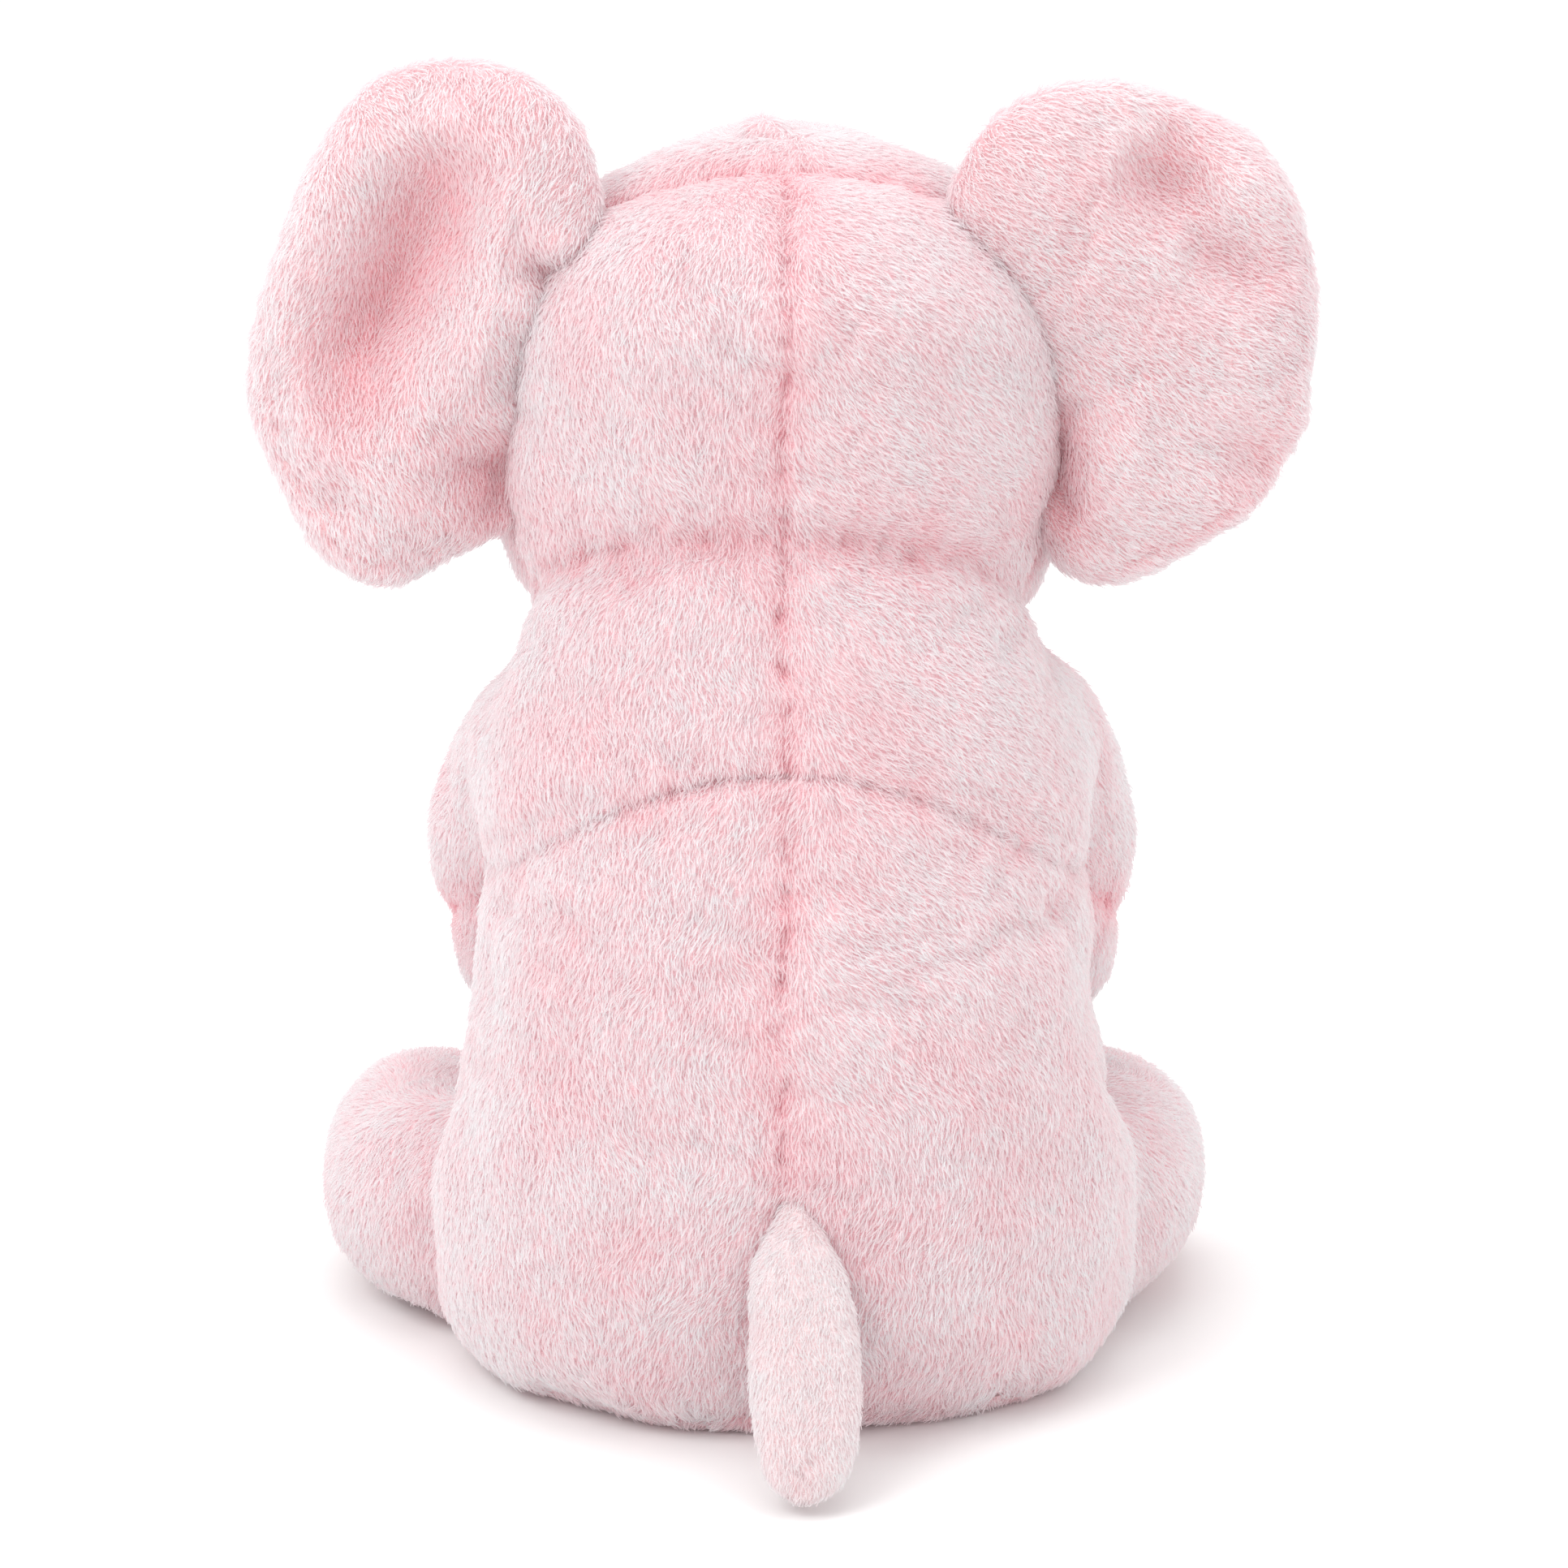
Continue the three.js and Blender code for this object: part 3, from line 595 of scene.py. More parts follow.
def leg_split(points: np.ndarray, side: Side) -> np.ndarray:
    """How far points lie on the outer and upper side of a hind leg's seam."""
    middle = np.interp(-points[:, 1], [1, 10, 22, 31, 38], [29, 35.5, 37.6, 38.4, 38.7])
    return (points[:, 0] * side.value - middle) * 0.72 + (points[:, 2] - 13) * 0.69 + 3.0


def everywhere(points: np.ndarray) -> np.ndarray:
    """1 at every point."""
    return np.ones(len(points))


def behind_crown(points: np.ndarray) -> np.ndarray:
    """1 on the back of the head and body, behind the crown's seam."""
    rear = smooth(points[:, 1], 4.5, 6.5)
    head = smooth(crown_y(points), -0.5, 0.5)
    return np.where(NECK.height(points) > 0, head, rear)


CENTRE_SEAM = Seam(
    offset=centre_x, along=lambda p: p[:, 2] - 0.4 * p[:, 1], present=behind_crown, depth=0.42, width=0.8,
    pinch=0.25,
    shoulder=0.35,
)
CROWN_SEAM = Seam(
    offset=crown_y, along=lambda p: np.where(np.abs(p[:, 0]) < 24, p[:, 0], p[:, 2]),
    present=lambda p: smooth(NECK.height(p), 0.0, 2.0), depth=0.5, width=0.9, pinch=0.18, shoulder=0.3,
)
NECK_SEAM = Seam(
    offset=lambda p: NECK.height(p) + 0.4 * Ripple(5, (9.0, 9.0, 9.0)).at(p), along=round_neck,
    present=everywhere, depth=0.3, width=1.0, pinch=0.1, shoulder=0.2,
)
MID_SEAM = Seam(
    offset=MID.height, along=lambda p: p[:, 0],
    present=lambda p: on_core(p) * smooth(p[:, 1], -4, 0), depth=0.15, width=1.0, pinch=0.12, shoulder=0.15,
)
TRUNK_SEAM = Seam(
    offset=lambda p: p[:, 1] - TRUNK_ROOT, along=lambda p: p[:, 0],
    present=lambda p: smooth(NECK.height(p), 2, 5), depth=0.5, width=0.9, pinch=0.25, shoulder=0.2,
)
GUSSET_SEAM = Seam(
    offset=gusset_x, along=lambda p: p[:, 1] - p[:, 2],
    present=lambda p: smooth(-p[:, 1], 3, 9) * smooth(p[:, 2], 97, 100) * smooth(p[:, 1], -36, -34),
    depth=0.45, width=0.8, pinch=0.2, shoulder=0.2,
)
FACE_SEAM = Seam(
    offset=lambda p: p[:, 0], along=lambda p: p[:, 2],
    present=lambda p: np.maximum(
        smooth(-p[:, 1], 35, 37), smooth(-p[:, 1], 6, 9) * smooth(-p[:, 2], -101, -98),
    )
    * smooth(NECK.height(p), 0, 1),
    depth=0.6, width=0.85, pinch=0.3,
)
PAW_SEAMS = tuple(
    Seam(
        offset=lambda p: p[:, 2] * 0.9 - p[:, 1] * 0.42 - 47.5, along=lambda p: p[:, 0],
        present=lambda p, s=side: 1 - smooth(ARMS[s].distance(p), 1, 3), depth=0.6, width=0.9, pinch=0.3,
    )
    for side in Side
)
SOLE_SEAMS = tuple(
    Seam(
        offset=lambda p: p[:, 1] - SOLE, along=lambda p: p[:, 0] + p[:, 2],
        present=lambda p, s=side: smooth(p[:, 0] * s.value, 18, 22), depth=0.7, width=0.95, pinch=0.35,
    )
    for side in Side
)
LEG_SEAMS = tuple(
    Seam(
        offset=lambda p, s=side: leg_split(p, s), along=lambda p: p[:, 1],
        present=lambda p, s=side: smooth(-p[:, 1], 12, 18) * smooth(p[:, 0] * s.value, 16, 20), depth=0.5,
        width=0.9, pinch=0.3,
    )
    for side in Side
)
BELLY_SEAM = Seam(
    offset=lambda p: p[:, 0], along=lambda p: p[:, 2],
    present=lambda p: smooth(-p[:, 1], 4, 8) * smooth(p[:, 2], 4, 7), depth=0.5, width=0.85, pinch=0.3,
)
BASE_SEAM = Seam(
    offset=lambda p: p[:, 2] - BASE_HEIGHT,
    along=lambda p: 34 * np.arctan2(p[:, 0], p[:, 1] - BASE_MIDDLE),
    present=on_core, depth=0.5, width=0.9, pinch=0.3, shoulder=0.1,
)
BODY_FOLDS = (
    Fold((35, 12, 37), (46, 1, 20), 2.1, 2.4), Fold((31, 24, 40), (35, 12, 37), 0.5, 1.8),
    Fold((-34, 12, 37), (-45, -4, 22), 1.9, 2.1), Fold((-37.5, 4, 31), (-45, -10, 25), 1.0, 1.4),
    Fold((-39, 8, 24), (-44, 2, 14), 0.7, 1.6), Fold((7.6, 36, 21), (9, 30, 4), 0.9, 1.7),
    Fold((1, 34, 62), (-11, 33, 63), 0.35, 1.6), Fold((1, 37, 50), (-12, 36, 53), 0.35, 1.8),
    Fold((-1, 36, 56), (10, 35, 54), 0.3, 1.8), Fold((-26, 22, 62), (-33, 15, 50), 0.5, 1.8),
    Fold((28, 20, 61), (33, 12, 48), 0.4, 1.8), Fold((-4, 25, 98), (-9, 23, 101), 0.35, 1.2),
    Fold((-16, 20, 96), (-23, 12, 95), 0.4, 1.3), Fold((12, 23, 96), (20, 17, 91), 0.35, 1.6),
)


def inset_front(points: np.ndarray) -> np.ndarray:
    """How deep the back's cloth tucks in under the belly's and the base's, in millimetres."""
    front = smooth(-points[:, 1], 2, 10)
    round_y = np.hypot(points[:, 0], points[:, 1] - BASE_MIDDLE)
    base = smooth(-points[:, 2], -5, -2) * smooth(-round_y, -33, -30)
    return 1.6 * np.maximum(front, base)


def lap(points: np.ndarray) -> np.ndarray:
    """How far the upper back's cloth and the haunches' run past their seam, more at the sides."""
    return 0.7 + 0.035 * np.abs(points[:, 0])


def upper_field(points: np.ndarray) -> np.ndarray:
    """The head, the trunk, the upper back and the forelegs."""
    body = keep(CORE.distance(points) + inset_front(points), -MID.height(points) - lap(points), 2.6)
    for arm in ARMS.values():
        body = melt(body, arm.distance(points), 5)
    head = melt(HEAD.distance(points), TRUNK.distance(points), 6)
    return melt(head, body, 3.6)


def lower_field(points: np.ndarray) -> np.ndarray:
    """The haunches and the hind legs, flat where they rest."""
    body = keep(CORE.distance(points) + inset_front(points), MID.height(points) - lap(points), 2.6)
    for leg in LEGS.values():
        body = melt(body, leg.distance(points), 6.5)
    return keep(body, -points[:, 2], 3)


def in_sight(points: np.ndarray) -> np.ndarray:
    """Whether points of the back's cloths lie near enough to the torso's surface to be kept."""
    return CORE.distance(points) > np.where(points[:, 1] > -3, -3.4, -1.3)


def front_field(points: np.ndarray) -> np.ndarray:
    """The torso alone, for the belly and the base, flat where it rests."""
    return keep(CORE.distance(points), -points[:, 2], 3)


# ---- cloth ------------------------------------------------------------------------------------
@dataclass(frozen=True)
class Stuffing:
    """How a skin is puffed out: a cloth simulation under the stuffing's pressure."""

    pressure: float = 4.0
    spare: float = 0.03
    most: float = 1.5
    scale: float = 10.0
    frames: int = 14

    def puff(self, skin: Skin, held: np.ndarray) -> Skin:
        """Puffs a closed skin out between its seams.

        Args:
            skin: the skin, as it was formed.
            held: which of its points stay where they are.

        Returns:
            The puffed skin, with no point moved further than the most.
        """
        scene = bpy.context.scene
        mesh = skin.mesh("stuffed")
        mesh.vertices.foreach_set("co", (skin.points * MM * self.scale).ravel())
        holder = bpy.data.objects.new("stuffed", mesh)
        scene.collection.objects.link(holder)
        group = holder.vertex_groups.new(name="sewn")
        group.add(np.flatnonzero(held).tolist(), 1.0, "REPLACE")
        cloth = holder.modifiers.new("cloth", "CLOTH")
        rules = cloth.settings
        rules.quality = 3
        rules.mass = 0.002
        rules.tension_stiffness = rules.compression_stiffness = 12
        rules.shear_stiffness = 8
        rules.bending_stiffness = 0.4
        rules.use_pressure = True
        rules.uniform_pressure_force = self.pressure
        rules.shrink_min = -self.spare
        rules.vertex_group_mass = "sewn"
        rules.effector_weights.gravity = 0
        cloth.point_cache.frame_start = 1
        cloth.point_cache.frame_end = self.frames
        for step in range(1, self.frames + 1):
            scene.frame_set(step)
        made = holder.evaluated_get(bpy.context.evaluated_depsgraph_get()).data
        after = np.empty(len(made.vertices) * 3)
        made.vertices.foreach_get("co", after)
        moved = after.reshape(-1, 3) / (MM * self.scale) - skin.points
        scene.frame_set(1)
        bpy.data.objects.remove(holder)
        bpy.data.meshes.remove(mesh)
        moved = skin.eased(np.nan_to_num(moved), 2)
        length = np.linalg.norm(moved, axis=1)[:, None] + 1e-9
        LOG.info("puffed by %.2f mm at most, %.2f on average", length.max(), length.mean())
        return Skin(skin.points + moved * np.minimum(1, self.most / length), skin.quads)


# ---- finishes ---------------------------------------------------------------------------------
Colour = tuple[float, float, float]


class Nodes:
    """A small helper that adds nodes to a material or a node group."""

    def __init__(self, tree: bpy.types.NodeTree) -> None:
        """Works on one node tree."""
        self.tree = tree

    def add(self, kind: str, inputs: dict | None = None, **settings: object) -> bpy.types.Node:
        """Adds a node.

        Args:
            kind: the node's type.
            inputs: what goes into its sockets, each a value or another node's output.
            **settings: the node's own properties.

        Returns:
            The new node.
        """
        node = self.tree.nodes.new(kind)
        for name, value in settings.items():
            setattr(node, name, value)
        for name, value in (inputs or {}).items():
            socket = node.inputs[name]
            if isinstance(value, bpy.types.NodeSocket):
                self.tree.links.new(value, socket)
            else:
                socket.default_value = value
        return node

    def maths(self, operation: str, first: object, second: object = 0.0) -> bpy.types.NodeSocket:
        """The result of one sum."""
        return self.add("ShaderNodeMath", {0: first, 1: second}, operation=operation).outputs[0]

    def blend(self, share: object, first: object, second: object) -> bpy.types.NodeSocket:
        """A mix of two colours."""
        node = self.add("ShaderNodeMix", {0: share, 6: first, 7: second}, data_type="RGBA")
        return node.outputs[2]


def new_material(name: str) -> tuple[bpy.types.Material, Nodes]:
    """An empty node material and its helper."""
    material = bpy.data.materials.new(name)
    material.use_nodes = True
    material.node_tree.nodes.clear()
    return material, Nodes(material.node_tree)


@dataclass(frozen=True)
class PileFinish:
    """Short plush pile: a knitted ground and the fibres that stand on it."""

    name: str
    tip: Colour
    deep: Colour
    fibre_tip: Colour
    fibre_deep: Colour
    length: float = 1.5
    density: float = 8.5

    def ground(self) -> bpy.types.Material:
        """The material of the cloth under the fibres, streaked like combed pile, with painted shade in its
        seams and creases.
        """
        material, n = new_material(self.name + "_ground")
        place = n.add("ShaderNodeNewGeometry").outputs["Position"]
        fine = n.add("ShaderNodeMapping", {"Vector": place, "Scale": (3600, 3600, 900)}).outputs[0]
        streak = n.add("ShaderNodeTexNoise", {"Vector": fine, "Scale": 1.0, "Detail": 3.0}).outputs[0]
        broad = n.add("ShaderNodeTexNoise", {"Vector": place, "Scale": 90.0, "Detail": 4.0}).outputs[0]
        knit = n.add("ShaderNodeMapping", {"Vector": place, "Scale": (1250, 1250, 1250)}).outputs[0]
        rows = n.add(
            "ShaderNodeTexWave", {"Vector": knit, "Scale": 1.0, "Distortion": 2.5}, bands_direction="Z",
        ).outputs[1]
        shade = n.add("ShaderNodeAttribute", attribute_name="shade").outputs["Fac"]
        # Painted shade: seams and creases take the deep colour by the shade attribute.
        painted_shade = n.maths("MULTIPLY", n.maths("SUBTRACT", 1.0, shade), 0.9)
        mottle = n.add("ShaderNodeMapRange", {0: broad, 1: 0.35, 2: 0.7, 3: 0.0, 4: 0.25}).outputs[0]
        fibre = n.add("ShaderNodeMapRange", {0: streak, 1: 0.35, 2: 0.65, 3: 0.5, 4: 0.0}).outputs[0]
        amount = n.add(
            "ShaderNodeMath", {0: n.maths("ADD", mottle, fibre), 1: painted_shade}, operation="ADD", use_clamp=True,
        )
        colour = n.blend(amount.outputs[0], (*self.tip, 1), (*self.deep, 1))
        relief = n.maths("ADD", n.maths("MULTIPLY", streak, 1.0), n.maths("MULTIPLY", rows, 0.25))
        bump = n.add("ShaderNodeBump", {"Height": relief, "Strength": 0.55, "Distance": 0.0005}).outputs[0]
        rough = n.add("ShaderNodeMapRange", {0: streak, 1: 0.3, 2: 0.7, 3: 0.98, 4: 0.82}).outputs[0]
        shader = n.add("ShaderNodeBsdfPrincipled", {
            "Base Color": colour, "Roughness": rough, "Normal": bump, "Sheen Weight": 0.5,
            "Sheen Roughness": 0.45, "Sheen Tint": (1.0, 0.9, 0.92, 1.0), "Specular IOR Level": 0.15,
        })
        n.add("ShaderNodeOutputMaterial", {"Surface": shader.outputs[0]})
        return material

    def fibres(self) -> bpy.types.Material:
        """The material of the fibres, paler and softer towards their tips, with painted shade in seams and
        creases and a faint painted glow.
        """
        material, n = new_material(self.name + "_fibres")
        strand = n.add("ShaderNodeHairInfo")
        place = n.add("ShaderNodeNewGeometry").outputs["Position"]
        shade = n.add("ShaderNodeAttribute", attribute_name="shade").outputs["Fac"]
        patch = n.add("ShaderNodeTexNoise", {"Vector": place, "Scale": 85.0, "Detail": 3.0}).outputs[0]
        clump = n.add("ShaderNodeTexNoise", {"Vector": place, "Scale": 900.0, "Detail": 2.0}).outputs[0]
        along = n.add(
            "ShaderNodeMapRange", {0: strand.outputs["Intercept"], 1: 0.0, 2: 0.7, 3: 0.4, 4: 0.0},
        ).outputs[0]
        # Painted shade: the fibres in seams and creases take the deep colour by the shade attribute.
        painted_shade = n.maths("MULTIPLY", n.maths("SUBTRACT", 1.0, shade), 0.85)
        mottle = n.add("ShaderNodeMapRange", {0: patch, 1: 0.42, 2: 0.68, 3: 0.0, 4: 0.16}).outputs[0]
        tuft = n.add("ShaderNodeMapRange", {0: clump, 1: 0.42, 2: 0.62, 3: 0.0, 4: 0.15}).outputs[0]
        single = n.maths("MULTIPLY", n.maths("POWER", strand.outputs["Random"], 2.0), 0.18)
        total = n.maths("ADD", n.maths("ADD", mottle, tuft), n.maths("ADD", single, painted_shade))
        amount = n.add("ShaderNodeMath", {0: total, 1: along}, operation="ADD", use_clamp=True).outputs[0]
        colour = n.blend(amount, (*self.fibre_tip, 1), (*self.fibre_deep, 1))
        # Painted glow: a faint pink emission lifts the fibres' shadows, standing in for light that passes
        # through the pink cloth.
        body = n.add("ShaderNodeBsdfPrincipled", {
            "Base Color": colour, "Roughness": 0.75, "Specular IOR Level": 0.2, "Sheen Weight": 0.3,
            "Sheen Roughness": 0.5, "Emission Color": (1.0, 0.42, 0.47, 1.0), "Emission Strength": 0.04,
        }).outputs[0]
        through = n.add("ShaderNodeBsdfTranslucent", {"Color": colour}).outputs[0]
        mixed = n.add("ShaderNodeMixShader", {0: 0.5, 1: body, 2: through}).outputs[0]
        n.add("ShaderNodeOutputMaterial", {"Surface": mixed})
        return material


@dataclass(frozen=True)
class LiningFinish:
    """The woven wrong side of the cloth."""

    colour: Colour = (0.80, 0.62, 0.62)

    def material(self) -> bpy.types.Material:
        """A plain close knit."""
        material, n = new_material("cloth_wrong_side")
        place = n.add("ShaderNodeNewGeometry").outputs["Position"]
        knit = n.add("ShaderNodeTexVoronoi", {"Vector": place, "Scale": 1400.0}).outputs["Distance"]
        tone = n.add("ShaderNodeMapRange", {0: knit, 1: 0.0, 2: 0.8, 3: 0.0, 4: 0.35}).outputs[0]
        colour = n.blend(tone, (*self.colour, 1), (0.62, 0.42, 0.43, 1))
        bump = n.add("ShaderNodeBump", {"Height": knit, "Strength": 0.4, "Distance": 0.0003}).outputs[0]
        shader = n.add("ShaderNodeBsdfPrincipled", {"Base Color": colour, "Roughness": 0.95, "Normal": bump})
        n.add("ShaderNodeOutputMaterial", {"Surface": shader.outputs[0]})
        return material


@dataclass(frozen=True)
class PlasticFinish:
    """A moulded plastic, for the eyes and the washers behind them."""

    name: str
    colour: Colour
    worn: Colour
    roughness: float

    def material(self) -> bpy.types.Material:
        """Moulded plastic with faint mottling and scuffs."""
        material, n = new_material(self.name)
        place = n.add("ShaderNodeNewGeometry").outputs["Position"]
        mottle = n.add("ShaderNodeTexNoise", {"Vector": place, "Scale": 700.0, "Detail": 3.0}).outputs[0]
        scuff = n.add("ShaderNodeTexNoise", {"Vector": place, "Scale": 2600.0, "Detail": 5.0}).outputs[0]
        share = n.add("ShaderNodeMapRange", {0: mottle, 1: 0.4, 2: 0.75, 3: 0.0, 4: 0.5}).outputs[0]
        colour = n.blend(share, (*self.colour, 1), (*self.worn, 1))
        low, high = self.roughness, self.roughness + 0.12
        rough = n.add("ShaderNodeMapRange", {0: scuff, 1: 0.4, 2: 0.7, 3: low, 4: high}).outputs[0]
        bump = n.add("ShaderNodeBump", {"Height": scuff, "Strength": 0.04, "Distance": 0.0001}).outputs[0]
        shader = n.add("ShaderNodeBsdfPrincipled", {"Base Color": colour, "Roughness": rough, "Normal": bump})
        n.add("ShaderNodeOutputMaterial", {"Surface": shader.outputs[0]})
        return material


BODY_PILE = PileFinish(
    "body_pile", (0.975, 0.80, 0.82), (0.87, 0.44, 0.49), (0.885, 0.93, 0.935), (0.95, 0.65, 0.69),
)
EAR_PILE = PileFinish(
    "ear_pile", (0.97, 0.76, 0.78), (0.87, 0.39, 0.43), (0.90, 0.945, 0.95), (0.96, 0.66, 0.70),
)
TAIL_PILE = PileFinish(
    "tail_pile", (0.975, 0.88, 0.885), (0.88, 0.6, 0.62), (0.875, 0.9, 0.905), (0.92, 0.74, 0.76),
    length=1.1, density=12.0,
)


# ---- pile -------------------------------------------------------------------------------------
@dataclass
class Pile:
    """The fibres of one finish, grown on the outer faces of a piece."""

    finish: PileFinish
    radius: float = 0.1
    group: bpy.types.NodeTree | None = None
    material: bpy.types.Material | None = None
    ground: bpy.types.Material | None = None

    def make(self) -> None:
        """Builds the node group that grows the fibres."""
        self.material = self.finish.fibres()
        self.ground = self.finish.ground()
        self.group = bpy.data.node_groups.new(self.finish.name + "_growth", "GeometryNodeTree")
        self.group.interface.new_socket("Geometry", in_out="OUTPUT", socket_type="NodeSocketGeometry")
        self.group.interface.new_socket("Geometry", in_out="INPUT", socket_type="NodeSocketGeometry")
        self.group.interface.new_socket("Cloth", in_out="INPUT", socket_type="NodeSocketObject")
        n = Nodes(self.group)
        worn = n.add("NodeGroupInput").outputs["Cloth"]
        skin = n.add(
            "GeometryNodeObjectInfo", {"Object": worn}, transform_space="RELATIVE",
        ).outputs["Geometry"]
        pick = n.add("GeometryNodeInputNamedAttribute", {"Name": "pile"}, data_type="BOOLEAN").outputs[0]
        roots = n.add("GeometryNodeDistributePointsOnFaces", {
            "Mesh": skin, "Selection": pick, "Density": self.finish.density * 1e6, "Seed": 7,
        })
        comb = n.add("GeometryNodeInputNamedAttribute", {"Name": "comb"}, data_type="FLOAT_VECTOR").outputs[0]
        height = n.add("GeometryNodeInputNamedAttribute", {"Name": "height"}, data_type="FLOAT").outputs[0]
        stray = n.add(
            "FunctionNodeRandomValue", {0: (-0.42,) * 3, 1: (0.42,) * 3, "Seed": 3},
            data_type="FLOAT_VECTOR",
        )
        lean = n.add("ShaderNodeVectorMath", {0: comb, 1: stray.outputs[0]}, operation="ADD").outputs[0]
        tilt = n.add(
            "FunctionNodeRandomValue", {0: (-0.2,) * 3, 1: (0.2,) * 3, "Seed": 5}, data_type="FLOAT_VECTOR",
        )
        up = n.add(
            "ShaderNodeVectorMath", {0: roots.outputs["Normal"], 1: tilt.outputs[0]}, operation="ADD",
        ).outputs[0]
        turn = n.add(
            "FunctionNodeAxesToRotation", {0: up, 1: lean}, primary_axis="Z", secondary_axis="X",
        ).outputs[0]
        size = n.add("FunctionNodeRandomValue", {2: 0.6, 3: 1.15, "Seed": 9}, data_type="FLOAT").outputs[1]
        scale = n.maths("MULTIPLY", size, height)
        length = self.finish.length * MM
        strand = n.add("GeometryNodeCurveQuadraticBezier", {
            "Resolution": 4, "Start": (-0.1 * length, 0, -0.1 * length),
            "Middle": (0.15 * length, 0, 0.42 * length), "End": (0.85 * length, 0, 0.4 * length),
        }).outputs[0]
        placed = n.add("GeometryNodeInstanceOnPoints", {
            "Points": roots.outputs["Points"], "Instance": strand, "Rotation": turn, "Scale": scale,
        }).outputs[0]
        real = n.add("GeometryNodeRealizeInstances", {"Geometry": placed}).outputs[0]
        along = n.add("GeometryNodeSplineParameter").outputs["Factor"]
        thin = n.maths("SUBTRACT", 1.0, n.maths("MULTIPLY", along, 0.72))
        radius = n.maths("MULTIPLY", thin, self.radius * MM)
        thick = n.add("GeometryNodeSetCurveRadius", {"Curve": real, "Radius": radius}).outputs[0]
        dyed = n.add("GeometryNodeSetMaterial", {"Geometry": thick, "Material": self.material}).outputs[0]
        n.add("NodeGroupOutput", {0: dyed})

    def grow(self, piece: bpy.types.Object) -> None:
        """Gives a piece its fibres, which follow it wherever it bends."""
        strands = bpy.data.hair_curves.new(piece.name + "_fibres")
        coat = bpy.data.objects.new(piece.name + "_fibres", strands)
        bpy.context.scene.collection.objects.link(coat)
        growth = coat.modifiers.new("growth", "NODES")
        growth.node_group = self.group
        cloth = next(i for i in self.group.interface.items_tree if i.name == "Cloth")
        growth[cloth.identifier] = piece


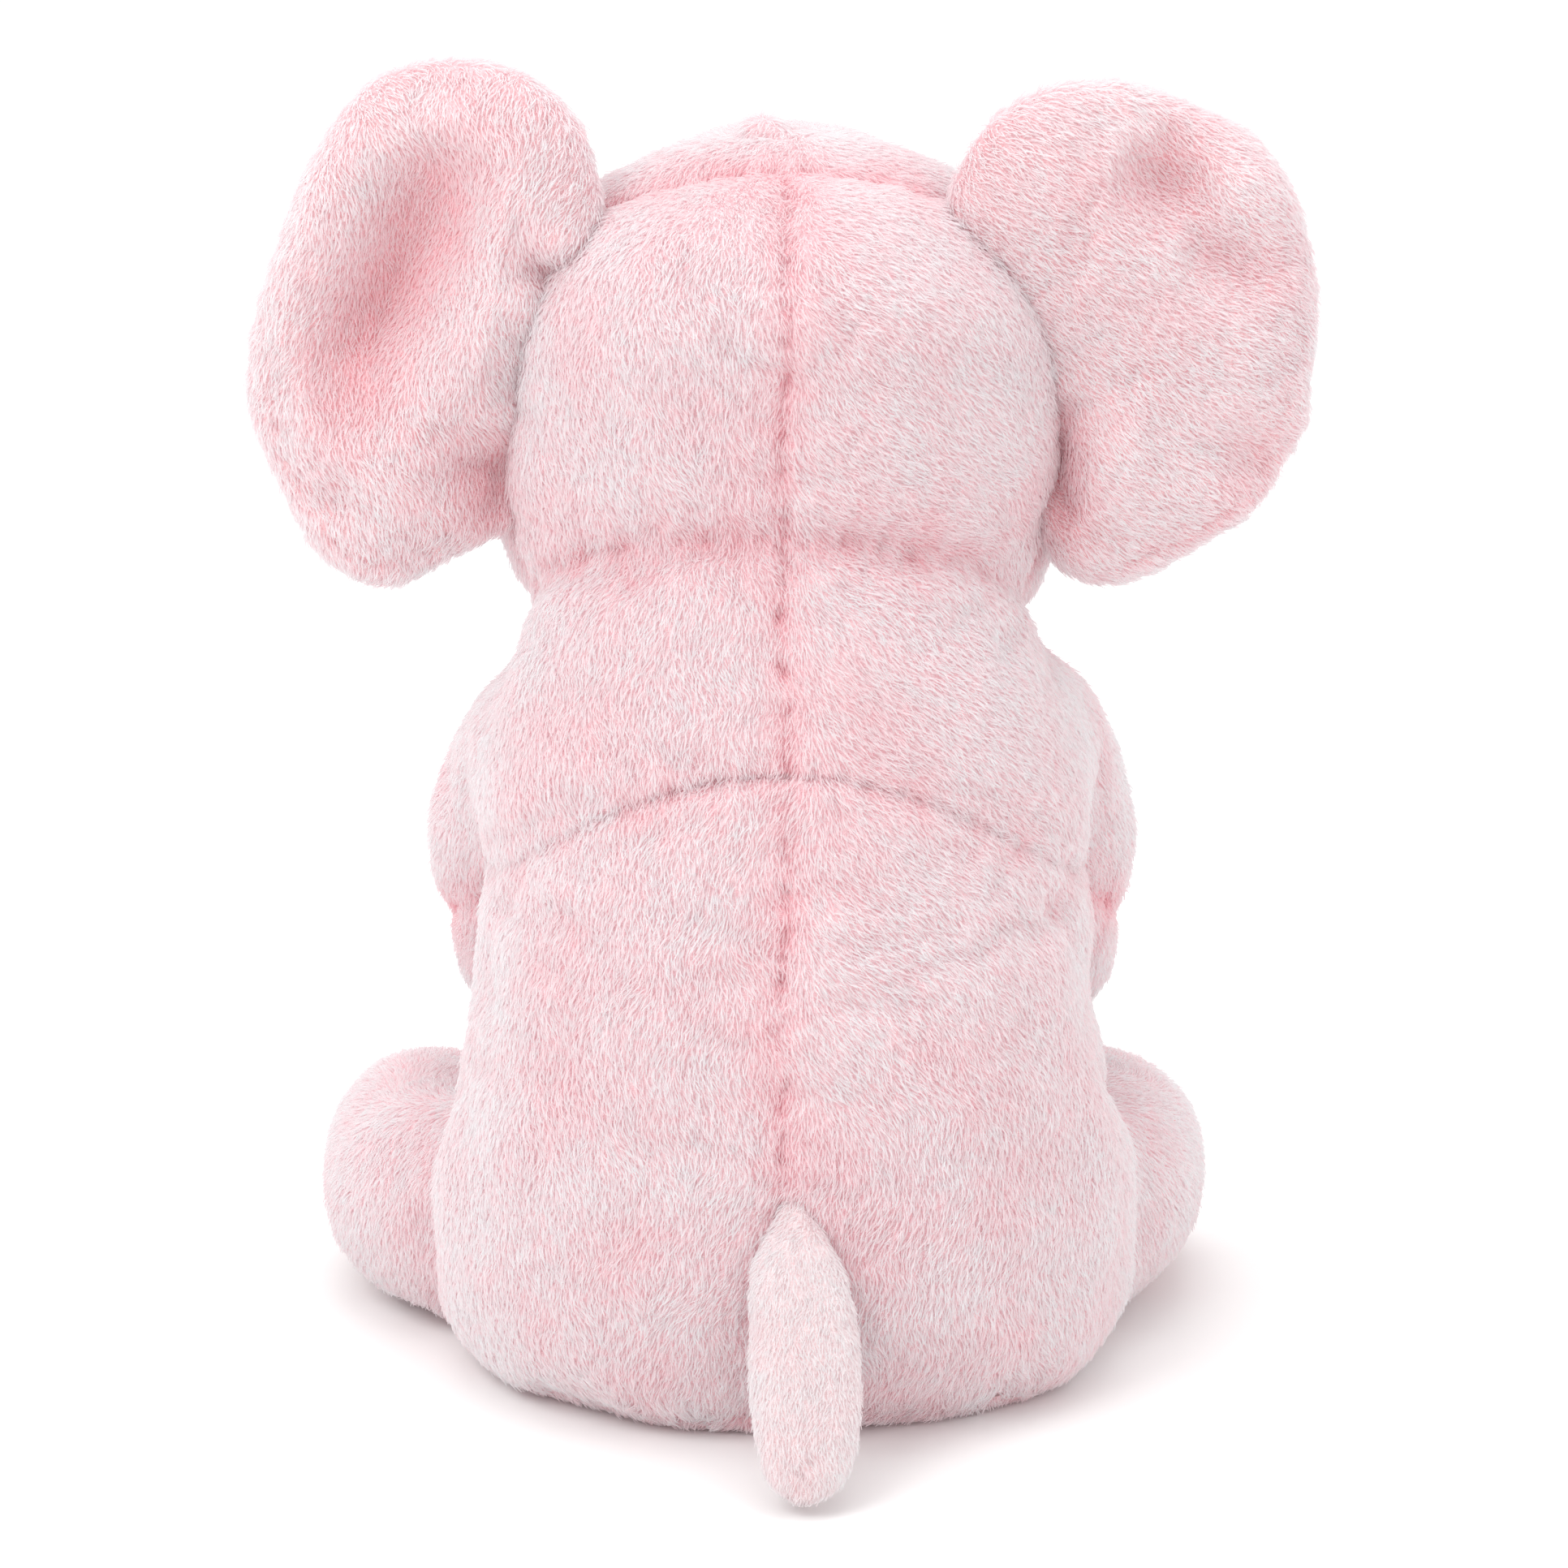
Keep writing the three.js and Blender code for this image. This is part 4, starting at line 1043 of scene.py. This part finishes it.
# ---- cutting and sewing -------------------------------------------------------------------------
@dataclass
class Cloth:
    """A carved skin with its nap, ready to be cut into panels."""

    skin: Skin
    # Painted shade: how much each point's colour deepens in seams and folds, from how far they draw it in; it
    # also shortens the pile there.
    pull: np.ndarray
    centres: np.ndarray
    thickness: float = 0.8

    @classmethod
    def carved(
        cls, skin: Skin, seams: Sequence[Seam], folds: Sequence[Fold], fold_shade: Field | None,
    ) -> "Cloth":
        """Draws a skin in along its seams and folds, and gives it the relief of its pile.

        Args:
            skin: the puffed skin.
            seams: the seams that cross it.
            folds: the creases that lie on it.
            fold_shade: where else painted shade deepens its colour, if anywhere.

        Returns:
            The cloth.
        """
        normals = skin.normals()
        pull = np.zeros(len(skin.points))
        for seam in seams:
            pull = np.maximum(pull, seam.pull(skin.points)) + np.minimum(seam.pull(skin.points), 0)
        crease = sum((fold.pull(skin.points) for fold in folds), np.zeros(len(skin.points)))
        lumps = 0.28 * Ripple(21, (17.0, 17.0, 13.0)).at(skin.points)
        tufts = 0.08 * Ripple(22, (1.5, 1.5, 3.2)).at(skin.points)
        points = skin.points - normals * (pull + crease + lumps + tufts)[:, None]
        points[:, 2] = np.maximum(points[:, 2], 0)
        # Painted shade: the colour deepens where seams and folds draw the cloth in.
        tone = 0.95 * np.maximum(pull, 0) + 0.5 * np.maximum(crease, 0)
        if fold_shade is not None:
            tone = np.maximum(tone, fold_shade(skin.points))
        return cls(Skin(points, skin.quads), tone, skin.centres())

    def comb(self, normals: np.ndarray) -> np.ndarray:
        """Which way the pile lies at every point: mostly down, and away from the crown."""
        p = self.skin.points
        lie = np.zeros_like(p)
        aside = smooth(-p[:, 0], 0, 9) * smooth(p[:, 2], 20, 60) * smooth(p[:, 1], -6, 6)
        lie[:, 0] = 0.35 * Ripple(31, (34.0, 34.0, 30.0)).at(p) - 1.5 * aside
        lie[:, 0] += 0.3 * Ripple(33, (7.0, 7.0, 7.0)).at(p)
        lie[:, 1] = 0.5 * np.tanh(p[:, 1] / 10) + 0.2 * Ripple(32, (26.0, 26.0, 26.0)).at(p)
        lie[:, 2] = -1
        lie -= (lie * normals).sum(axis=1)[:, None] * normals
        return lie / (np.linalg.norm(lie, axis=1)[:, None] + 1e-6)

    def cut(self, name: str, chosen: np.ndarray, pile: Pile, lining: bpy.types.Material) -> bpy.types.Object:
        """Cuts out one panel as a closed piece of cloth with its own thickness.

        Args:
            name: the piece's name.
            chosen: which of the skin's quads the panel keeps.
            pile: the fibres that it carries.
            lining: the material of its wrong side.

        Returns:
            The new piece.
        """
        quads = self.skin.quads[chosen]
        used, flat = np.unique(quads, return_inverse=True)
        quads = flat.reshape(-1, 4)
        normals = self.skin.normals()
        outer = self.skin.points[used]
        inner = outer - normals[used] * self.thickness
        count = len(used)
        start, end = quads.ravel(), np.roll(quads, -1, axis=1).ravel()
        forward = start * count + end
        open_edge = ~np.isin(forward, end * count + start)
        a, b = start[open_edge], end[open_edge]
        rim = np.stack([b, a, a + count, b + count], axis=1)
        faces = np.vstack([quads, quads[:, ::-1] + count, rim])
        mesh = bpy.data.meshes.new(name)
        mesh.from_pydata((np.vstack([outer, inner]) * MM).tolist(), [], faces.tolist())
        mesh.polygons.foreach_set("use_smooth", np.ones(len(faces), bool))
        ends = np.empty(len(mesh.edges) * 2, int)
        mesh.edges.foreach_get("vertices", ends)
        ends = np.sort(ends.reshape(-1, 2), axis=1)
        rim_ends = np.sort(np.stack([a, b], axis=1), axis=1)
        sharp = np.isin(ends @ [2 * count, 1], rim_ends @ [2 * count, 1])
        mesh.attributes.new("sharp_edge", "BOOLEAN", "EDGE").data.foreach_set("value", sharp)
        mesh.polygons.foreach_set("material_index", (np.arange(len(faces)) >= len(quads)).astype(np.int32))
        # Painted shade: the shade attribute deepens the colour of seams and folds, whose pile is also cut
        # shorter.
        tone = np.clip(self.pull[used] / 1.5, 0, 1)
        press = 0.25 + 0.75 * smooth(outer[:, 2], -0.2, 2.0)
        self.store(mesh, "shade", "FLOAT", 1 - 0.8 * tone)
        self.store(mesh, "height", "FLOAT", (1 - 0.5 * tone) * press)
        self.store(mesh, "comb", "FLOAT_VECTOR", self.comb(normals)[used])
        grown = mesh.attributes.new("pile", "BOOLEAN", "FACE")
        grown.data.foreach_set("value", np.arange(len(faces)) < len(quads))
        mesh.materials.append(pile.ground)
        mesh.materials.append(lining)
        piece = bpy.data.objects.new(name, mesh)
        bpy.context.scene.collection.objects.link(piece)
        pile.grow(piece)
        LOG.info("%s: %d faces", name, len(faces))
        return piece

    @staticmethod
    def store(mesh: bpy.types.Mesh, name: str, kind: str, values: np.ndarray) -> None:
        """Keeps values of the outer points on a mesh, and the same on its inner points."""
        both = np.concatenate([values, values]).astype(np.float32)
        field = "vector" if kind == "FLOAT_VECTOR" else "value"
        mesh.attributes.new(name, kind, "POINT").data.foreach_set(field, both.ravel())


@dataclass(frozen=True)
class Crossing:
    """Where a piece crosses from one body to the next, in millimetres; the piece is not bent there."""

    first: str
    second: str
    start: tuple[float, float, float]
    end: tuple[float, float, float]

    def bend(self, piece: bpy.types.Object) -> None:
        """Bakes a piece's placement into its mesh; nothing bends it across the joint."""
        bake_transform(piece)


@dataclass(frozen=True)
class Panel:
    """One panel of a cloth: the quads that it keeps, what it rides on and the nodes it stands for."""

    name: str
    chosen: np.ndarray
    rides: str | Crossing
    nodes: tuple[str, ...]


@dataclass
class Workshop:
    """What every sub-assembly is made with."""

    body: Pile = field(default_factory=lambda: Pile(BODY_PILE))
    ear: Pile = field(default_factory=lambda: Pile(EAR_PILE))
    tail: Pile = field(default_factory=lambda: Pile(TAIL_PILE))
    lining: bpy.types.Material | None = None
    stuffing: Stuffing = Stuffing()
    step: float = 1.2

    def prepare(self) -> None:
        """Makes the materials and the fibres' node groups."""
        self.lining = LiningFinish().material()
        for pile in (self.body, self.ear, self.tail):
            pile.make()

    def sew(
        self, shape: Field, low: Sequence[float], high: Sequence[float], seams: Sequence[Seam],
        folds: Sequence[Fold] = (), held: Field | None = None, step: float | None = None,
        fold_shade: Field | None = None,
    ) -> Cloth:
        """Forms, puffs, refines and carves one skin.

        Args:
            shape: the field that the skin follows.
            low: the lowest corner of the field's box.
            high: the highest corner.
            seams: the seams that cross the skin, which hold it while it is puffed.
            folds: the creases that lie on it.
            held: a field that is above 0 wherever else the skin is held.
            step: the net's spacing, when it isn't the usual one.
            fold_shade: where else painted shade deepens its colour, if anywhere.

        Returns:
            The cloth.
        """
        skin = Skin.around(shape, low, high, step or self.step)
        pins = np.zeros(len(skin.points), bool)
        for seam in seams:
            pins |= seam.near(skin.points, 1.3)
        if held is not None:
            pins |= held(skin.points) > 0
        puffed = self.stuffing.puff(skin, pins)
        return Cloth.carved(puffed.refined(), seams, folds, fold_shade)

    def panels(self, cloth: Cloth, pile: Pile, fill: float, rows: Sequence[Panel]) -> None:
        """Cuts panels out of a cloth, hides the frame's nodes that each stands for, and ties those that ride
        one body to it; the rest keep their place.

        Args:
            cloth: the cloth that they are cut from.
            pile: the fibres that they carry.
            fill: not used.
            rows: the panels.
        """
        for row in rows:
            piece = cloth.cut(row.name + "_cloth", row.chosen, pile, self.lining)
            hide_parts(*row.nodes)
            if isinstance(row.rides, Crossing):
                row.rides.bend(piece)
            else:
                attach(piece, row.rides)


def shifted(point: Sequence[float], along: Sequence[float], reach: float) -> tuple[float, float, float]:
    """A point moved along a direction by a reach."""
    return tuple(float(p + reach * a) for p, a in zip(point, along))


def shoulder_crossing(side: Side) -> Crossing:
    """Where the cloth turns from the torso to a foreleg."""
    joint, along = (25.0 * side.value, -3.0, 73.0), (0.0, -0.47, -0.88)
    return Crossing("torso", f"arm_{side.word}", shifted(joint, along, 2), shifted(joint, along, 18))


def hip_crossing(side: Side) -> Crossing:
    """Where the cloth turns from the torso to a hind leg."""
    s = side.value
    return Crossing("torso", f"leg_{side.word}", (18.0 * s, -14.0, 13.0), (36.0 * s, -34.0, 13.0))


@dataclass
class UpperBody:
    """The upper back cut in one with the forelegs' outer skins, and the forelegs' inner skins and paws."""

    shop: Workshop

    def build(self, cloth: Cloth, on_head: np.ndarray) -> None:
        """Cuts the body's part of the upper skin.

        Args:
            cloth: the upper skin.
            on_head: which of its quads belong to the head.
        """
        centre = cloth.centres
        shown = ~on_head & in_sight(centre)
        for side in Side:
            mine = shown & (centre_x(centre) * side.value > 0)
            arm = mine & (ARMS[side].distance(centre) < 2.5) & (CORE.distance(centre) > 0.8)
            paw = arm & (PAW_SEAMS[0].offset(centre) < 0) & (centre[:, 2] < PAW_TOP)
            inner = arm & ~paw & (arm_split(centre, side) < 0)
            outer = mine & ~paw & ~inner
            back, skin, pad = (f"{part}_{side.word}" for part in ("upper_back", "arm_inner", "paw_pad"))
            filled = (f"arm_outer_{side.word}", f"arm_stuffing_{side.word}")
            bend = shoulder_crossing(side)
            self.shop.panels(cloth, self.shop.body, 0.85, (
                Panel(back, outer, bend, (back, *filled)), Panel(skin, inner, bend, (skin,)),
                Panel(pad, paw, bend, (pad,)),
            ))


@dataclass
class Head:
    """The head's back, forehead and cheeks, and the trunk that grows from them."""

    shop: Workshop
    reach: float = 14.0

    def build(self, cloth: Cloth, on_head: np.ndarray) -> None:
        """Cuts the head's part of the upper skin.

        Args:
            cloth: the upper skin.
            on_head: which of its quads belong to the head.
        """
        centre = cloth.centres
        neck = Crossing("torso", "head", NECK.middle, shifted(NECK.middle, NECK.axis(), self.reach))
        snout = Crossing("head", "trunk", (0.0, TRUNK_ROOT, 100.0), (0.0, -43.0, 100.0))
        trunk = on_head & (centre[:, 1] < TRUNK_ROOT)
        tip = trunk & (centre[:, 2] < TRUNK_TIP)
        back = on_head & (crown_y(centre) > 0)
        face = on_head & ~trunk & ~back
        forehead = face & (gusset_x(centre) < 0) & (centre[:, 2] > FOREHEAD_LOW)
        left = centre_x(centre) > 0
        cheeks = face & ~forehead
        self.shop.panels(cloth, self.shop.body, 0.85, (
            Panel("head_back_left", back & left, neck, ("head_back_left", "head_stuffing")),
            Panel("head_back_right", back & ~left, neck, ("head_back_right",)),
            Panel("forehead", forehead, neck, ("forehead_panel",)),
            Panel("cheek_left", cheeks & (centre[:, 0] > 0), neck, ("cheek_left",)),
            Panel("cheek_right", cheeks & (centre[:, 0] <= 0), neck, ("cheek_right",)),
            Panel("trunk_left", trunk & ~tip & (centre[:, 0] > 0), snout, ("trunk_left", "trunk_stuffing")),
            Panel("trunk_right", trunk & ~tip & (centre[:, 0] <= 0), snout, ("trunk_right",)),
            Panel("trunk_tip", tip, snout, ("trunk_tip",)),
        ))


@dataclass
class LowerBody:
    """The haunches cut in one with the hind legs' outer skins, and the legs' inner skins and soles."""

    shop: Workshop

    def build(self) -> None:
        """Makes the lower skin and cuts it."""
        seams = (CENTRE_SEAM, MID_SEAM, *SOLE_SEAMS, *LEG_SEAMS)
        cloth = self.shop.sew(
            lower_field, (-56, -42, -3), (56, 42, 78), seams, BODY_FOLDS, held=lambda p: 0.6 - p[:, 2],
        )
        centre = cloth.centres
        shown = in_sight(centre)
        for side in Side:
            mine = shown & (centre_x(centre) * side.value > 0)
            leg = mine & (LEGS[side].distance(centre) < 4) & (centre[:, 1] < -4)
            sole = leg & (centre[:, 1] < SOLE)
            inner = leg & ~sole & (leg_split(centre, side) < 0)
            outer = mine & ~sole & ~inner
            haunch, skin, pad = (f"{part}_{side.word}" for part in ("haunch", "leg_inner", "sole"))
            filled = (f"leg_outer_{side.word}", f"leg_stuffing_{side.word}")
            bend = hip_crossing(side)
            self.shop.panels(cloth, self.shop.body, 0.75, (
                Panel(haunch, outer, bend, (haunch, *filled)), Panel(skin, inner, bend, (skin,)),
                Panel(pad, sole, bend, (pad,)),
            ))


@dataclass
class Front:
    """The belly, from the chin down, and the base that the toy sits on."""

    shop: Workshop

    def build(self) -> None:
        """Makes the torso's front skin and cuts it."""
        cloth = self.shop.sew(
            front_field, (-42, -32, -4), (42, 42, 94), (BELLY_SEAM, BASE_SEAM), (),
            held=lambda p: p[:, 1] + 6,
        )
        centre = cloth.centres
        below = (centre[:, 2] < BASE_HEIGHT) & (
            np.hypot(centre[:, 0], centre[:, 1] - BASE_MIDDLE) < BASE_RADIUS
        )
        front = ~below & (centre[:, 1] < -3) & (NECK.height(centre) < 3)
        self.shop.panels(cloth, self.shop.body, 0.75, (
            Panel("belly", front, "torso", ("belly_panel", "torso_stuffing", "pellet_bag", "neck_stuffing")),
            Panel("base", below, "torso", ("base_panel",)),
        ))


@dataclass(frozen=True)
class Ear:
    """One big ear: two cloths sewn round their rim, lightly padded and softly creased."""

    side: Side
    outline: tuple[tuple[float, float], ...]
    folds: tuple[Fold, ...]
    loft: float = 4.7
    rim: float = 8.0

    def flat(self, points: np.ndarray) -> np.ndarray:
        """How far points lie inside the ear's outline, seen from behind."""
        corners = np.array(self.outline, float)
        ring = np.vstack([corners, corners[:3]])
        padded = spline(ring, 8 * len(corners) + 17)[4:4 + 8 * len(corners)]
        a, b = padded, np.roll(padded, -1, axis=0)
        out = np.empty(len(points))
        for part in np.array_split(np.arange(len(points)), max(1, len(points) // 8000)):
            place = points[part][:, None, [0, 2]]
            run = (b - a)[None]
            share = np.clip(((place - a) * run).sum(axis=2) / (run**2).sum(axis=2), 0, 1)
            away = np.linalg.norm(place - a - share[..., None] * run, axis=2).min(axis=1)
            x, z = place[..., 0], place[..., 1]
            crosses = (a[:, 1] > z) != (b[:, 1] > z)
            height = np.where(b[:, 1] == a[:, 1], 1, b[:, 1] - a[:, 1])
            hit = crosses & (x < a[:, 0] + (z - a[:, 1]) / height * (b[:, 0] - a[:, 0]))
            out[part] = np.where(hit.sum(axis=1) % 2 == 1, away, -away)
        return out

    def crease(self, points: np.ndarray) -> np.ndarray:
        """How far the ear's folds push its cloth to the front."""
        flat = points * np.array([1.0, 0.0, 1.0])
        return sum((fold.pull(flat) for fold in self.folds), np.zeros(len(points)))

    def middle(self, points: np.ndarray) -> np.ndarray:
        """How far behind or in front of the ear's middle surface points lie."""
        out = points[:, 0] * self.side.value
        y = 3.4 + 3.2 * smooth(points[:, 2], 112, 134) * (1 - smooth(out, 24, 44)) - 0.11 * (out - 33)
        return points[:, 1] - y + 0.85 * self.crease(points)

    def field(self, points: np.ndarray) -> np.ndarray:
        """The ear's own form."""
        inside = self.flat(points)
        share = np.clip(inside / self.rim, 0, 1)
        half = self.loft * np.sqrt(np.clip(1 - (1 - share) ** 2, 0, 1))
        half -= 0.2 * np.maximum(self.crease(points), 0)
        thick = np.abs(self.middle(points)) - np.maximum(half, 0.6 * share)
        return np.where(inside > 0, thick * 0.8, np.hypot(inside, np.maximum(thick, 0)) + 0.01)

    def build(self, shop: Workshop) -> None:
        """Makes the ear's two cloths.

        Args:
            shop: what it is made with.
        """
        s = self.side.value
        rim = Seam(
            offset=self.middle, along=lambda p: p[:, 2] + p[:, 0] * s, present=lambda p: 1 - smooth(
                self.flat(p), 2, 4,
            ),
            depth=0.12, width=0.8, pinch=0.05, shoulder=0.0,
        )
        turned = Seam(
            offset=lambda p: self.flat(p) - 2.4, along=lambda p: p[:, 2] - p[:, 0] * s,
            present=lambda p: smooth(self.middle(p), 0, 1) * smooth(-p[:, 2], -118, -104)
            * smooth(p[:, 0] * s, 34, 40),
            depth=0.3, width=0.6, pinch=0.12, shoulder=0.1,
        )
        corners = np.array(self.outline)
        low = (corners[:, 0].min() - 3, -14, corners[:, 1].min() - 3)
        high = (corners[:, 0].max() + 3, 15, corners[:, 1].max() + 3)
        cloth = shop.sew(
            self.field, low, high, (rim, turned), (), held=lambda p: 26 - p[:, 0] * s, step=1.1,
            # Painted shade: the ear's colour deepens with the depth of its folds.
            fold_shade=lambda p: 0.11 * np.maximum(self.crease(p), 0),
        )
        behind = self.middle(cloth.centres) > 0
        root = (31.0 * s, 0.0, 112.0)
        crossing = Crossing("head", f"ear_{self.side.word}", root, shifted(root, (0.98 * s, 0.0, 0.19), 9))
        back, front, pad = (f"ear_{part}_{self.side.word}" for part in ("back", "front", "padding"))
        shop.panels(cloth, shop.ear, 0.6, (
            Panel(back, behind, crossing, (back, pad)), Panel(front, ~behind, crossing, (front,)),
        ))


LEFT_EAR = Ear(
    Side.LEFT,
    (
        (19.5, 128), (20.4, 134), (22.4, 141.4), (28.4, 146.2), (36.6, 147), (44, 144.4), (50, 137),
        (53.2, 130),
        (56, 122.7), (57.9, 114), (57.7, 107), (55.9, 100.8), (52.1, 94.1), (47.5, 90.2), (43, 89.2),
        (38, 90.8),
        (32.5, 94), (28.5, 97), (26.5, 106), (24, 118),
    ),
    (
        Fold((32, 0, 142), (51, 0, 106), 7.0, 5.6, 0.22), Fold((31, 0, 109), (31.5, 0, 94), 4.4, 4.4, 0.25),
        Fold((22, 0, 122.5), (29, 0, 127.5), 3.0, 2.0, 0.25), Fold((46, 0, 102), (52, 0, 97), 1.4, 3.2, 0.2),
    ),
)
RIGHT_EAR = Ear(
    Side.RIGHT,
    (
        (-17.5, 129), (-18.7, 135), (-22.6, 141.6), (-29, 144.4), (-36, 144.4), (-46.4, 140.6),
        (-51.6, 136.4),
        (-55.4, 130), (-57.6, 120), (-57.3, 111.8), (-55.6, 104.5), (-51.5, 97.6), (-46.7, 94), (-40.7, 90.7),
        (-36, 89.7), (-31.6, 90.4), (-28.4, 93.8), (-26.8, 98), (-26, 106), (-23.5, 118),
    ),
    (
        Fold((-33, 0, 138), (-48, 0, 132), 4.6, 4.6, 0.2), Fold((-41, 0, 129), (-55, 0, 122), 3.6, 3.8, 0.25),
        Fold((-29.5, 0, 114), (-30.5, 0, 93), 4.2, 3.0, 0.4),
        Fold((-49, 0, 109), (-55, 0, 98), 1.6, 3.5, 0.25),
    ),
)


@dataclass
class Tail:
    """The short flat tail, gathered at its tip."""

    shop: Workshop

    def build(self) -> None:
        """Makes the tail."""
        gather = (
            Fold((-2, 55.6, 5.4), (-1.6, 55.6, 5.0), 0.5, 1.3, 0.4),
            Fold((-3.6, 55, 8), (-2.4, 56, 5.6), 0.3, 0.8),
        )
        cloth = self.shop.sew(
            TAIL.distance, (-8, 30, -1), (8, 60, 34), (), gather, held=lambda p: p[:, 2] - 26, step=0.9,
        )
        whole = np.ones(len(cloth.skin.quads), bool)
        crossing = Crossing("torso", "tail", (0.0, 36.5, 28.0), (0.0, 42.0, 20.0))
        row = Panel("tail", whole, crossing, ("tail_skin", "tail_stuffing"))
        self.shop.panels(cloth, self.shop.tail, 0.7, (row,))


@dataclass(frozen=True)
class Eyes:
    """The two safety eyes and the washers that lock them, which the frame already holds."""

    eye: PlasticFinish = PlasticFinish(
        "eye_plastic_gloss", (0.004, 0.003, 0.003), (0.006, 0.005, 0.005), 0.08,
    )
    washer: PlasticFinish = PlasticFinish("washer_plastic_matte", (0.82, 0.80, 0.76), (0.7, 0.68, 0.63), 0.42)

    def dress(self, nodes: dict[str, bpy.types.Object]) -> None:
        """Gives the frame's eyes and washers their plastics.

        Args:
            nodes: the frame's objects by name.
        """
        eye, washer = self.eye.material(), self.washer.material()
        for side in Side:
            for name, material in ((f"eye_{side.word}", eye), (f"eye_washer_{side.word}", washer)):
                for slot in nodes[name].material_slots:
                    slot.material = material
                LOG.info("%s dressed", name)


@dataclass(frozen=True)
class Studio:
    """The pale floor, the soft lights and the camera."""

    distance: float = 0.8
    elevation: float = 16.0
    height: float = 0.0652
    across: float = 0.1739

    def build(self) -> None:
        """Makes the floor, the lights, the sky and the camera."""
        self.floor()
        self.light("key", (0.5, 0.5, 0.8), 0.5, 3.2)
        self.light("fill", (-0.7, 0.6, 0.5), 0.8, 0.9)
        self.light("top", (0.0, -0.1, 1.1), 0.7, 2.8)
        world = bpy.data.worlds.new("studio")
        world.use_nodes = True
        world.node_tree.nodes["Background"].inputs["Color"].default_value = (1, 1, 1, 1)
        world.node_tree.nodes["Background"].inputs["Strength"].default_value = 1.0
        scene = bpy.context.scene
        scene.world = world
        scene.view_settings.view_transform = "Standard"
        lens = bpy.data.cameras.new("camera")
        lens.sensor_width = 36
        lens.lens = 36 * self.distance / self.across
        camera = bpy.data.objects.new("camera", lens)
        tilt = math.radians(self.elevation)
        target = Vector((0, 0, self.height))
        camera.location = target + Vector((0, math.cos(tilt), math.sin(tilt))) * self.distance
        camera.rotation_euler = (target - camera.location).to_track_quat("-Z", "Y").to_euler()
        scene.collection.objects.link(camera)
        scene.camera = camera

    def floor(self) -> None:
        """A wide pale floor."""
        material, n = new_material("studio_floor")
        place = n.add("ShaderNodeNewGeometry").outputs["Position"]
        grain = n.add("ShaderNodeTexNoise", {"Vector": place, "Scale": 60.0, "Detail": 4.0}).outputs[0]
        colour = n.blend(grain, (0.93, 0.925, 0.92, 1), (0.95, 0.945, 0.94, 1))
        shader = n.add(
            "ShaderNodeBsdfPrincipled", {"Base Color": colour, "Roughness": 0.85, "Specular IOR Level": 0.1},
        )
        n.add("ShaderNodeOutputMaterial", {"Surface": shader.outputs[0]})
        half = FLOOR_SIZE / 2
        mesh = bpy.data.meshes.new("studio_floor")
        mesh.from_pydata(
            [(-half, -half, 0), (half, -half, 0), (half, half, 0), (-half, half, 0)], [], [(0, 1, 2, 3)],
        )
        mesh.materials.append(material)
        floor = bpy.data.objects.new("studio_floor", mesh)
        bpy.context.scene.collection.objects.link(floor)

    def light(self, name: str, place: tuple[float, float, float], size: float, power: float) -> None:
        """Adds one soft light that faces the toy.

        Args:
            name: the light's name.
            place: where it is, in metres.
            size: the side of its square, in metres.
            power: its power in watts.
        """
        lamp = bpy.data.lights.new(name, "AREA")
        lamp.size = size
        lamp.energy = power
        holder = bpy.data.objects.new(name, lamp)
        holder.location = place
        facing = Vector((0, 0, self.height)) - Vector(place)
        holder.rotation_euler = facing.to_track_quat("-Z", "Y").to_euler()
        bpy.context.scene.collection.objects.link(holder)


def main() -> None:
    """Builds the toy around the frame, one sub-assembly after another."""
    logging.basicConfig(level=logging.INFO, format="%(name)s: %(message)s")
    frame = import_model()
    Studio().build()
    shop = Workshop()
    shop.prepare()
    Eyes().dress(frame["nodes"])
    seams = (CENTRE_SEAM, CROWN_SEAM, NECK_SEAM, MID_SEAM, TRUNK_SEAM, GUSSET_SEAM, FACE_SEAM, *PAW_SEAMS)
    cloth = shop.sew(upper_field, (-42, -62, 28), (42, 36, 142), seams, BODY_FOLDS)
    on_head = NECK.height(cloth.centres) > 0
    Head(shop).build(cloth, on_head)
    UpperBody(shop).build(cloth, on_head)
    LowerBody(shop).build()
    Front(shop).build()
    for ear in (LEFT_EAR, RIGHT_EAR):
        ear.build(shop)
    Tail(shop).build()


if __name__ == "__main__":
    main()
